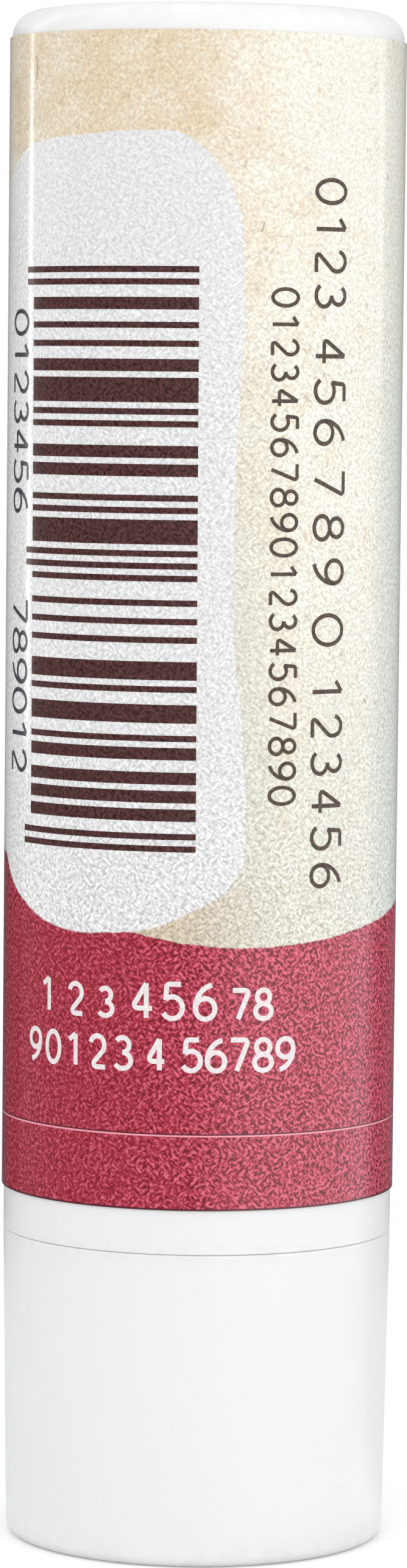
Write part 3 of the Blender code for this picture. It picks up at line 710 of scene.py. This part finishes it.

# Where the print and its painted light and shade change: from here to there, in mm, and the shares
# that they change from and to
DULL_BESIDE = (4.2, 1.4)
DULL_UP = (62.0, 44.0)
DULL_LOW = (50.0, 26.0, 0.0, 0.7)
PAINTED_REFLECTION_RIGHT = (7.6, 11.2)
PAINTED_REFLECTION_UP = (66.0, 40.0, 0.2, 1.1)
PAINTED_LIGHT_FADE_BACK = (21.0, 13.0)
PAINTED_SHADE_FADE_BACK = (-18.0, -14.0)
TOAST_RIGHT = (5.0, -2.0)
TOAST_UP = (31.5, 28.5, 0.0, 0.6)
PAINTED_LIGHT_RIGHT = (-6.0, 8.0)
PAINTED_SHADE_LEFT = (-10.6, -12.2)
PANEL_PAINTED_LIGHT_LEFT = (-5.5, -9.0)
RED_GRAIN = (-6.0, 6.0, 1.7, 3.8)
TOP_GRAIN = (66.0, 48.0, 0.15, 0.26)
LOW_GRAIN = (38.0, 29.0, 0.0, 0.1)
PANEL_EDGE = (-0.05, 0.05)
WAVE_EDGE = (-0.04, 0.04)
BARED_CUT_AND_PAINTED_HIGHLIGHT = (COLLAR_CUT_Z - 0.09, COLLAR_CUT_Z - 0.06)
PAINTED_SHADOW_AT_CUT = (CAP_CUT_Z + 0.06, CAP_CUT_Z + 0.03)
DARK_FOOT = (LABEL_FOOT_Z + 0.11, LABEL_FOOT_Z + 0.06)

# Curves of the print, and of its painted light, each as (place, height) points
# How tan the ground is across the front: tan and pale print, going paler towards the right partly as painted
# light
WARMTH = [
    (-20, 0.9), (-12, 0.45), (-10.5, 0.8), (-8, 0.8), (-4, 0.96), (-1.5, 0.9), (0.5, 0.62), (2.5, 0.36),
    (4.5, 0.14), (8, 0.0), (38, 0.9),
]
WAVE = [
    (-20, 31.6), (-12, 30.6), (-8, 29.2), (-5.4, 28.35), (-2.45, 27.68), (0.21, 27.27), (2.2, 27.17),
    (4.33, 27.28), (7.86, 27.74), (10.78, 28.22), (16, 29.4), (24, 31.2), (38, 31.4),
]
PANEL_TOP = [
    (-18, 52), (-14.6, 56.8), (-12.8, 59.85), (-11.14, 60.86), (-9.8, 61.5), (-8.42, 61.85), (-6.02, 62.02),
    (-2.82, 62.19), (-1.3, 62.12), (-0.09, 61.42), (0.5, 60.8), (0.92, 60.12), (1.3, 59.25), (1.6, 58),
    (3, 50),
]
PANEL_FOOT = [
    (-18, 38), (-14.5, 34), (-13, 31.9), (-11.66, 30.34), (-10.77, 29.51), (-9.22, 28.63), (-7.56, 27.97),
    (-5.65, 27.66), (-4.31, 27.70), (-2.35, 27.92), (-1.33, 28.26), (-0.36, 28.71), (0.7, 29.3),
    (1.22, 29.73), (1.76, 30.55), (2.02, 31.7), (3, 36),
]
PANEL_RIGHT = [
    (26, 1.96), (33.4, 1.94), (34.6, 1.87), (36, 1.78), (37.7, 1.66), (39.2, 1.45), (42.4, 1.28),
    (45.5, 1.32), (48.7, 1.42), (51.8, 1.56), (55, 1.67), (57.8, 1.6), (63, 1.56),
]
PANEL_LEFT = [(26, -12.6), (34, -14.4), (45, -14.8), (56, -14.5), (63, -12.8)]


def drawn(tree, value, points):
    """Reads a drawn curve, given as (place, height) points, at this place."""
    places, heights = zip(*points)
    low, high = min(heights), max(heights)
    span = places[-1] - places[0]
    spread = high - low or 1.0
    feeds = {"Value": value, "From Min": places[0], "From Max": places[-1]}
    share = flow(tree, "ShaderNodeMapRange", feeds)
    node = wire(tree, "ShaderNodeFloatCurve", {"Value": share})
    track = node.mapping.curves[0]
    unit = [((place - places[0]) / span, (height - low) / spread) for place, height in points]
    track.points[0].location = unit[0]
    track.points[1].location = unit[-1]
    for x, y in unit[1:-1]:
        track.points.new(x, y)
    node.mapping.update()
    return calc(tree, "MULTIPLY_ADD", node.outputs[0], spread, low)


def within(tree, value):
    """Keeps a share from 0 to 1."""
    return calc(tree, "MINIMUM", calc(tree, "MAXIMUM", value, 0.0), 1.0)


def varied(tree, value, cloud, amount):
    """Moves a value up and down with a cloudy noise."""
    return calc(tree, "MULTIPLY_ADD", minus(tree, cloud, 0.5), amount, value)


label_film, tree, shader = new_material("label_film")
place = wire(tree, "ShaderNodeAttribute", attribute_name="print").outputs["Vector"]
body = in_mm(tree)
across, up, _ = split(tree, place)
speck = noise(tree, body, SPECK_PER_MM, detail=3.0)
grain = use(tree, strokes, Place=place, Per_mm=PRINT_GRAIN)["Grain"]
blotch = noise(tree, body, BLOTCH_PER_MM, detail=4.0)
tremble = times(tree, minus(tree, noise(tree, body, per_mm=2.5), 0.5), EDGE_TREMBLE)

# Tan to pale ground, with the paling towards the right of the front partly painted light
warm = varied(tree, drawn(tree, across, WARMTH), blotch, WARM_BLOTCH)
warm = varied(tree, warm, speck, WARM_SPECK)
ground = mix(tree, within(tree, warm), GROUND_PALE_AND_PAINTED_LIGHT, GROUND_TAN)
beside = times(tree, ramp(tree, across, *DULL_BESIDE), ramp(tree, up, *DULL_UP))
dull = calc(tree, "MULTIPLY_ADD", beside, DULL_SHARE, ramp(tree, up, *DULL_LOW))
ground = mix(tree, within(tree, varied(tree, dull, speck, DULL_SPECK)), ground, GROUND_DULL)
# Painted reflection: a greyer, greener tint near the right edge of the front, strongest low down and fading
# out towards the back
painted_reflection = times(tree, ramp(tree, across, *PAINTED_REFLECTION_RIGHT), ramp(tree, across, *PAINTED_LIGHT_FADE_BACK))
painted_reflection = times(tree, painted_reflection, ramp(tree, up, *PAINTED_REFLECTION_UP))
ground = mix(tree, painted_reflection, ground, GROUND_PAINTED_REFLECTION)
toast = times(tree, ramp(tree, across, *TOAST_RIGHT), ramp(tree, up, *TOAST_UP))
ground = mix(tree, toast, ground, GROUND_TOAST)
fleck = ramp(tree, noise(tree, body, per_mm=2.2, detail=3.0), *FLECKS)
ground = mix(tree, fleck, ground, GROUND_FLECK)
for middle, turn, length in FIBRES:
    stray = use(tree, fibre, Place=place, Middle=middle, Turn=turn, Length=length)["Mask"]
    ground = mix(tree, times(tree, stray, FIBRE_SHARE), ground, FIBRE_BROWN)

# Painted light pales the raspberry towards the right of the front, painted shade darkens it towards the left,
# and both fade out towards the back
pale = times(tree, ramp(tree, across, *PAINTED_LIGHT_RIGHT), ramp(tree, across, *PAINTED_LIGHT_FADE_BACK))
side = times(tree, ramp(tree, across, *PAINTED_SHADE_LEFT), ramp(tree, across, *PAINTED_SHADE_FADE_BACK))
red = mix(tree, side, mix(tree, pale, RASPBERRY, RASPBERRY_PAINTED_LIGHT), RASPBERRY_PAINTED_SHADE)
lean = times(tree, minus(tree, grain, 0.5), ramp(tree, across, *RED_GRAIN))
red = mix(tree, lean, red, RASPBERRY_LIGHT)
red = mix(tree, times(tree, lean, -1.0), red, RASPBERRY_DEEP)
below = calc(tree, "ADD", minus(tree, drawn(tree, across, WAVE), up), tremble)

inside = minus(tree, drawn(tree, across, PANEL_TOP), up)
for more, less in (
    (up, drawn(tree, across, PANEL_FOOT)), (drawn(tree, up, PANEL_RIGHT), across),
    (across, drawn(tree, up, PANEL_LEFT)),
):
    inside = calc(tree, "MINIMUM", inside, minus(tree, more, less))
# The panel's white, lighter towards its left edge as painted light
panel = mix(tree, ramp(tree, across, *PANEL_PAINTED_LIGHT_LEFT), PANEL_WHITE, PANEL_PAINTED_LIGHT)
inside = ramp(tree, calc(tree, "ADD", inside, tremble), *PANEL_EDGE)
depth = calc(tree, "ADD", ramp(tree, up, *TOP_GRAIN), ramp(tree, up, *LOW_GRAIN))
level = calc(tree, "MULTIPLY_ADD", calc(tree, "MULTIPLY_ADD", grain, 2.0, -1.0), depth, 1.0)
outside = mix(tree, ramp(tree, below, *WAVE_EDGE), scaled(tree, ground, level), red)
colour = mix(tree, inside, outside, scaled(tree, panel, level))

lower = calc(tree, "LESS_THAN", up, (COLLAR_CUT_Z + CAP_CUT_Z) / 2)
# The collar film's top edge: its bare core, with a painted highlight where light catches the cut
bared_and_painted_highlight = times(tree, ramp(tree, up, *BARED_CUT_AND_PAINTED_HIGHLIGHT), lower)
colour = mix(tree, bared_and_painted_highlight, colour, CUT_EDGE_AND_PAINTED_HIGHLIGHT)
# Painted shadow along the lowest edge of the cap's film, over the joint
painted_cut_shadow = times(tree, ramp(tree, up, *PAINTED_SHADOW_AT_CUT), minus(tree, 1.0, lower))
colour = mix(tree, painted_cut_shadow, colour, RASPBERRY_EDGE)
colour = mix(tree, ramp(tree, up, *DARK_FOOT), colour, RASPBERRY_EDGE)
tree.links.new(colour, shader["Base Color"])
marks = use(tree, scratch, Place=body, Per_mm=0.5, Stretch=0.12)["Mask"]
rough = ramp(tree, blotch, *CLOUDY, LABEL_GLOSSY, LABEL_MATT)
tree.links.new(calc(tree, "MULTIPLY_ADD", marks, RUB_DULLING, rough), shader["Roughness"])
height = calc(tree, "MULTIPLY_ADD", speck, SPECK_HEIGHT, blotch)
add_bump(tree, shader, height, LABEL_BUMP)

for name, node, body_name, slot, foot, top, rows in (
    ("collar_film", "collar_label", "barrel", "label_red", LABEL_FOOT_Z, COLLAR_CUT_Z, COLLAR_ROWS),
    ("cap_film", "cap_label", "cap", "label_cream", CAP_CUT_Z, LABEL_TOP_Z, CAP_ROWS),
):
    film = grown(
        name, film_tree, bpy.data.meshes.new("start"), Foot=foot * MM, Top=top * MM,
        Inner_radius=FILM_INNER * MM, Thickness=FILM_THICKNESS * MM, Lap=FILM_LAP * MM, Start=FILM_START,
        Turn=FILM_TURN, Slant=FILM_SLANT * MM * (top > CAP_CUT_Z), Columns=FILM_COLUMNS, Rows=rows,
        Material=label_film,
    )
    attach(film, body_name)
    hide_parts(node)

# Bars on the panel: ink laid on the film, each bar across the stick, read from the top down. They spell a
# count from nought, in the usual thirteen-digit code.
CODE_NUMBER = "0123456789012"
LEFT_CODES = (
    "0001101", "0011001", "0010011", "0111101", "0100011",
    "0110001", "0101111", "0111011", "0110111", "0001011",
)
MODULE = 0.2644
CODE_TOP_Z = 56.42
BAR_RIGHT = -0.25
BAR_LEFT = -8.9
GUARD_LEFT = -9.46
BAR_COLUMNS = 49
INK_THICKNESS = 0.006
INK_LIFT = 0.0006
INK_MERGE = 0.0001 * MM
PRINT_LEAN = 0.0036
LEAN_PIVOT_Z = 45.0
INK_SHINE = 0.35
INK_ROUGHNESS = 0.2
INK_MATT_PATCH = 0.06
TEXT_ROUGHNESS = 0.22
INK_BROWN = tone(40, 8, 8)
INK_BROWN_THIN = tone(98, 60, 60)


def wrapped(tree, flat, radius, thickness, lean):
    """Bends flat ink, drawn across and up from the middle of the front, round the stick, and thickens it."""
    across, up, lift = split(tree, flow(tree, "GeometryNodeInputPosition"))
    flat = keep_print(tree, flat, calc(tree, "DIVIDE", across, MM), calc(tree, "DIVIDE", up, MM))
    drop = minus(tree, LEAN_PIVOT_Z * MM, up)
    leant = calc(tree, "MULTIPLY_ADD", drop, lean, across)
    angle = calc(tree, "ADD", calc(tree, "DIVIDE", leant, radius), FRONT)
    reach = calc(tree, "ADD", radius, lift)
    place = flow(tree, "ShaderNodeCombineXYZ", {
        0: times(tree, reach, calc(tree, "COSINE", angle)),
        1: times(tree, reach, calc(tree, "SINE", angle)),
        2: up,
    })
    sheet = flow(tree, "GeometryNodeSetPosition", {"Geometry": flat, "Position": place})
    return thickened(tree, sheet, thickness, INK_MERGE)


def ink(name, dense, thin, roughness=INK_ROUGHNESS):
    """Printing ink: dense colour that thins out in the print's grain."""
    material, tree, shader = new_material(name, Specular_IOR_Level=INK_SHINE)
    place = wire(tree, "ShaderNodeAttribute", attribute_name="print").outputs["Vector"]
    worn = use(tree, strokes, Place=place, Per_mm=PRINT_GRAIN)["Grain"]
    tree.links.new(mix(tree, worn, dense, thin), shader["Base Color"])
    rough = ramp(tree, noise(tree, place, per_mm=0.6), *CLOUDY, roughness, roughness + INK_MATT_PATCH)
    tree.links.new(rough, shader["Roughness"])
    return material


brown_ink = ink("brown_ink", INK_BROWN, INK_BROWN_THIN)
bars_tree, given, made = group_of("Geometry", "printed bars", {
    "Geometry": "Geometry", "Radius": 1.0, "Ink": 0.1, "Lean": 0.0, "Columns": 3, "Material": "Material",
}, {"Geometry": "Geometry"})
cell = flow(bars_tree, "GeometryNodeMeshGrid", {
    "Size X": 1.0, "Size Y": 1.0, "Vertices X": given["Columns"], "Vertices Y": 2,
})
size = flow(bars_tree, "GeometryNodeInputNamedAttribute", {"Name": "size"}, data_type="FLOAT_VECTOR")
bars = flow(bars_tree, "GeometryNodeInstanceOnPoints", {
    "Points": given["Geometry"], "Instance": cell, "Scale": size,
})
bars = flow(bars_tree, "GeometryNodeRealizeInstances", {"Geometry": bars})
bars = wrapped(bars_tree, bars, given["Radius"], given["Ink"], given["Lean"])
finished(bars_tree, bars, given["Material"], made)

left = "".join(LEFT_CODES[int(digit)] for digit in CODE_NUMBER[1:7])
right = "".join(LEFT_CODES[int(digit)] for digit in CODE_NUMBER[7:]).translate(str.maketrans("01", "10"))
modules = "101" + left + "01010" + right + "101"
guards = (range(0, 3), range(45, 50), range(92, 95))
middles = []
sizes = []
start = 0
for i in range(1, len(modules) + 1):
    if i == len(modules) or modules[i] != modules[start]:
        if modules[start] == "1":
            near = GUARD_LEFT if any(start in guard for guard in guards) else BAR_LEFT
            middle_z = CODE_TOP_Z - (start + i) / 2 * MODULE
            middles.append(((near + BAR_RIGHT) / 2 * MM, middle_z * MM, INK_LIFT * MM))
            sizes += [(BAR_RIGHT - near) * MM, (i - start) * MODULE * MM, 1.0]
        start = i
mesh = bpy.data.meshes.new("start")
mesh.from_pydata(middles, [], [])
mesh.attributes.new("size", "FLOAT_VECTOR", "POINT").data.foreach_set("vector", sizes)
code_bars = grown(
    "code_bars", bars_tree, mesh, Radius=PRINT_RADIUS * MM, Ink=INK_THICKNESS * MM, Lean=PRINT_LEAN,
    Columns=BAR_COLUMNS, Material=brown_ink,
)
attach(code_bars, "cap")

# Plain numbers beside the bars, in two columns to the right of the panel, and in two lines on the raspberry
# foot: single pen strokes of ink laid on the film.
STROKE_STEP = 0.05
NUMERAL_WIDTH = 0.62
TURN_TO_PEN = 0.6

# Each numeral is one unit high, as the strokes of a round pen
NUMERALS = {
    "0": [bow(0.31, 0.5, 0.31, 0.5, 90, 450, 24)],
    "1": [[(0.38, 1.0), (0.38, 0.0)], [(0.1, 0.8), (0.38, 1.0)]],
    "2": [bow(0.3, 0.7, 0.27, 0.3, 165, -35) + [(0.03, 0.0), (0.6, 0.0)]],
    "3": [bow(0.28, 0.76, 0.24, 0.24, 150, -90), bow(0.28, 0.26, 0.3, 0.26, 90, -150)],
    "4": [[(0.44, 0.0), (0.44, 1.0)], [(0.44, 1.0), (0.0, 0.28), (0.62, 0.28)]],
    "5": [[(0.54, 1.0), (0.12, 1.0), (0.08, 0.54)], bow(0.28, 0.32, 0.31, 0.32, 132, -150)],
    "6": [bow(0.62, 0.3, 0.61, 0.7, 100, 175) + bow(0.31, 0.3, 0.29, 0.3, 180, 540, 20)],
    "7": [[(0.0, 1.0), (0.6, 1.0), (0.2, 0.0)]],
    "8": [bow(0.31, 0.76, 0.24, 0.24, 90, 450, 20), bow(0.31, 0.26, 0.3, 0.26, 90, 450, 20)],
    "9": [bow(0.0, 0.7, 0.61, 0.7, -80, -5) + bow(0.31, 0.7, 0.29, 0.3, 0, 360, 20)],
}

numerals_tree, given, made = group_of("Geometry", "pen numerals", {
    "Geometry": "Geometry", "Pen": 0.1, "Step": 0.1, "Radius": 1.0, "Ink": 0.1, "Lean": 0.0,
    "Material": "Material",
}, {"Geometry": "Geometry"})
paths = flow(numerals_tree, "GeometryNodeMeshToCurve", {"Mesh": given["Geometry"]})
turn = times(numerals_tree, given["Pen"], TURN_TO_PEN)
paths = flow(numerals_tree, "GeometryNodeFilletCurve", {
    "Curve": paths, "Count": 4, "Radius": turn, "Limit Radius": True,
}, mode="POLY")
paths = flow(numerals_tree, "GeometryNodeResampleCurve", {
    "Curve": paths, "Length": given["Step"],
}, mode="LENGTH")
paths = flow(numerals_tree, "GeometryNodeSetCurveNormal", {"Curve": paths}, mode="Z_UP")
nib = flow(numerals_tree, "GeometryNodeCurvePrimitiveLine", {"Start": (-0.5, 0, 0), "End": (0.5, 0, 0)})
ribbon = flow(numerals_tree, "GeometryNodeCurveToMesh", {
    "Curve": paths, "Profile Curve": nib, "Scale": given["Pen"],
})
facing = split(numerals_tree, flow(numerals_tree, "GeometryNodeInputNormal"))[2]
ribbon = flow(numerals_tree, "GeometryNodeFlipFaces", {
    "Mesh": ribbon, "Selection": calc(numerals_tree, "LESS_THAN", facing, 0.0),
})
ribbon = wrapped(numerals_tree, ribbon, given["Radius"], given["Ink"], given["Lean"])
finished(numerals_tree, ribbon, given["Material"], made)


def skeleton(rows, down):
    """The pen's paths. A row has its numerals, its start across and up, and their height, pitch and width."""
    points = []
    edges = []
    for numbers, (across, up), height, pitch, wide in rows:
        for place, number in enumerate(numbers):
            for layer, stroke in enumerate(NUMERALS[number]):
                flat = [(place * pitch + x * height * wide / NUMERAL_WIDTH, y * height) for x, y in stroke]
                flat = [(across + y, up - x) if down else (across + x, up + y) for x, y in flat]
                looped = math.dist(flat[0], flat[-1]) < INK_LIFT
                first = len(points)
                lift = INK_LIFT * (1 + 2 * layer)
                points += [(x * MM, y * MM, lift * MM) for x, y in flat[:len(flat) - looped]]
                edges += [(i, i + 1) for i in range(first, len(points) - 1)]
                if looped:
                    edges.append((len(points) - 1, first))
    mesh = bpy.data.meshes.new("start")
    mesh.from_pydata(points, edges, [])
    return mesh


white_ink = ink("white_ink", tone(240, 238, 238), tone(226, 210, 212))
text_ink = ink("text_ink", tone(42, 30, 22), tone(92, 76, 62), TEXT_ROUGHNESS)
code_ink = ink("code_ink", tone(36, 35, 42), tone(84, 82, 90))
for name, colour, pen, down, rows in (
    ("code_numerals", code_ink, 0.19, True, (
        (CODE_NUMBER[:7], (-11.0, 54.5), 1.6, 1.295, 0.62),
        (CODE_NUMBER[7:], (-11.0, 41.9), 1.6, 1.31, 0.62),
    )),
    ("large_numerals", text_ink, 0.185, True, (
        ("0123", (5.03, 60.2), 1.6, 1.5, 0.62), ("456", (5.03, 53.4), 1.6, 1.75, 0.66),
        ("789", (5.03, 47.7), 1.6, 1.9, 0.66), ("0", (5.03, 41.5), 1.6, 1.6, 0.8),
        ("123456", (5.03, 38.8), 1.6, 1.62, 0.62),
    )),
    ("small_numerals", text_ink, 0.16, True, (("012345678901234567890", (2.95, 55.5), 1.2, 1.07, 0.6),)),
    ("foot_numerals", white_ink, 0.22, False, (
        ("1", (-7.95, 24.1), 1.42, 1.0, 0.6), ("2", (-6.2, 24.1), 1.3, 1.0, 0.6),
        ("3", (-4.6, 24.1), 1.2, 1.0, 0.6), ("456", (-3.0, 24.1), 1.5, 1.38, 0.6),
        ("78", (1.4, 24.1), 1.25, 1.0, 0.6), ("90123", (-8.8, 21.85), 1.35, 1.25, 0.6),
        ("4", (-2.3, 21.85), 1.35, 1.0, 0.56), ("56789", (-0.75, 21.85), 1.35, 1.04, 0.6),
    )),
):
    numerals = grown(
        name, numerals_tree, skeleton(rows, down), Pen=pen * MM, Step=STROKE_STEP * MM,
        Radius=PRINT_RADIUS * MM, Ink=INK_THICKNESS * MM, Lean=PRINT_LEAN, Material=colour,
    )
    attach(numerals, "cap")

# The camera stands level with the upper part of the stick, as in the photograph, and looks slightly down on
# it, with a slight roll
CAMERA_PLACE = (0.00011, -0.240, 0.0517)
CAMERA_DOWN = math.radians(4.31)
CAMERA_ROLL = math.radians(0.586)
CAMERA_LENS = 123.93
CAMERA_SENSOR = 36
CAMERA_NEAR = 0.01

lens = bpy.data.cameras.new("camera")
lens.lens = CAMERA_LENS
lens.sensor_width = CAMERA_SENSOR
lens.clip_start = CAMERA_NEAR
camera = placed("camera", lens)
tilt = Matrix.Rotation(math.radians(90) - CAMERA_DOWN, 4, "X")
camera.matrix_world = Matrix.Translation(CAMERA_PLACE) @ tilt @ Matrix.Rotation(CAMERA_ROLL, 4, "Z")
scene.camera = camera

# A plain white studio: a floor under an even white sky, with soft lamps at the right, in front and overhead.
# A small tent round the stick shows only in its gloss: grey at the back, paler at the front right, with two
# bright slits at the sides, a pale top and a pale floor.
WHITE = (1, 1, 1, 1)
FLOOR_HALF = 1.2
FLOOR_WHITE = (0.8, 0.8, 0.8, 1)
FLOOR_LIFT = 0.2
SKY_LEVEL = 0.97
TENT_SECTION = ((0.012, 0.0001), (0.06, 0.0001), (0.06, 0.16))
TENT_STEPS = 120
TENT_LEVELS = [
    (-180, 0.15), (-150, 0.1), (-124, 0.1), (-120, 0.2), (-108, 0.3), (-60, 0.35), (-10, 0.5), (12, 1.1),
    (40, 1.7), (95, 1.7), (108, 1.2), (118, 0.4), (126, 0.2), (150, 0.15), (180, 0.15),
]

# A slit has its azimuth, half width and level, and the heights that it fades in between, in degrees and mm.
# The tent's top and floor have such heights too, and the levels there.
SLITS = ((-115.8, 2.4, 4.2, 28.0, 36.0), (114.0, 4.0, 1.2, 42.0, 60.0))
SLIT_EDGE = 1.0
TENT_TOP = (75.5, 77.0, 0.0, 0.6)
TENT_FLOOR = (5.0, 0.5, 0.0, 0.8)

scene.view_settings.view_transform = "Standard"
mesh = bpy.data.meshes.new("floor")
corners = [(-1, -1), (1, -1), (1, 1), (-1, 1)]
mesh.from_pydata([(x * FLOOR_HALF, y * FLOOR_HALF, 0) for x, y in corners], [], [(0, 1, 2, 3)])
floor = placed("floor", mesh)
material, tree, shader = new_material(
    "floor_white", Base_Color=FLOOR_WHITE, Roughness=1.0, Specular_IOR_Level=0.0, Emission_Color=WHITE
)
rays = wire(tree, "ShaderNodeLightPath").outputs
seen = calc(tree, "MAXIMUM", rays["Is Camera Ray"], rays["Is Glossy Ray"])
seen = calc(tree, "MAXIMUM", seen, rays["Is Transmission Ray"])
tree.links.new(times(tree, seen, FLOOR_LIFT), shader["Emission Strength"])
mesh.materials.append(material)

world = bpy.data.worlds.new("sky")
scene.world = world
world.use_nodes = True
sky = world.node_tree.nodes["Background"].inputs
sky["Color"].default_value = WHITE
rays = wire(world.node_tree, "ShaderNodeLightPath").outputs
lit = ramp(world.node_tree, rays["Is Diffuse Ray"], 0.0, 1.0, 1.0, SKY_LEVEL)
world.node_tree.links.new(lit, sky["Strength"])

turns = [math.tau * i / TENT_STEPS for i in range(TENT_STEPS)]
points = [(radius * math.cos(a), radius * math.sin(a), z) for radius, z in TENT_SECTION for a in turns]
faces = []
for ring in range(len(TENT_SECTION) - 1):
    for i in range(TENT_STEPS):
        low, after = ring * TENT_STEPS + i, ring * TENT_STEPS + (i + 1) % TENT_STEPS
        faces.append((low, after, TENT_STEPS + after, TENT_STEPS + low))
mesh = bpy.data.meshes.new("tent")
mesh.from_pydata(points, [], faces)
tent = placed("tent", mesh)
material, tree, shader = new_material(
    "tent_glow", Base_Color=(0, 0, 0, 1), Specular_IOR_Level=0.0, Emission_Color=WHITE
)
x, y, z = split(tree, in_mm(tree))
azimuth = calc(tree, "DEGREES", calc(tree, "ARCTAN2", x, times(tree, y, -1.0)))
glow = drawn(tree, azimuth, TENT_LEVELS)
for middle, half, level, low, high in SLITS:
    off = calc(tree, "ABSOLUTE", minus(tree, azimuth, middle))
    slit = times(tree, ramp(tree, off, half, half - SLIT_EDGE), ramp(tree, z, low, high))
    glow = calc(tree, "MULTIPLY_ADD", slit, level, glow)
glow = calc(tree, "MAXIMUM", glow, ramp(tree, z, *TENT_TOP))
glow = calc(tree, "MAXIMUM", glow, ramp(tree, z, *TENT_FLOOR))
tree.links.new(glow, shader["Emission Strength"])
mesh.materials.append(material)
tent.visible_camera = False
tent.visible_diffuse = False
tent.visible_shadow = False
tent.visible_transmission = False

# Soft rectangular lamps that light the stick but don't show in its gloss. Their places, widths and heights
# are in metres, and their powers in watts.
LAMP_AIM = (0, 0, 0.034)
for name, place, width, height, power in (
    ("lamp", (0.42, -0.4, 0.12), 0.5, 0.3, 0.26),
    ("front lamp", (-0.06, -0.48, 0.28), 0.5, 0.4, 0.43),
    ("overhead", (-0.06, -0.05, 0.62), 0.5, 0.5, 0.4),
):
    light = bpy.data.lights.new(name, "AREA")
    light.shape = "RECTANGLE"
    light.size = width
    light.size_y = height
    light.energy = power
    lamp = placed(name, light)
    lamp.location = place
    lamp.rotation_euler = (Vector(LAMP_AIM) - lamp.location).to_track_quat("-Z", "Y").to_euler()
    lamp.visible_glossy = False
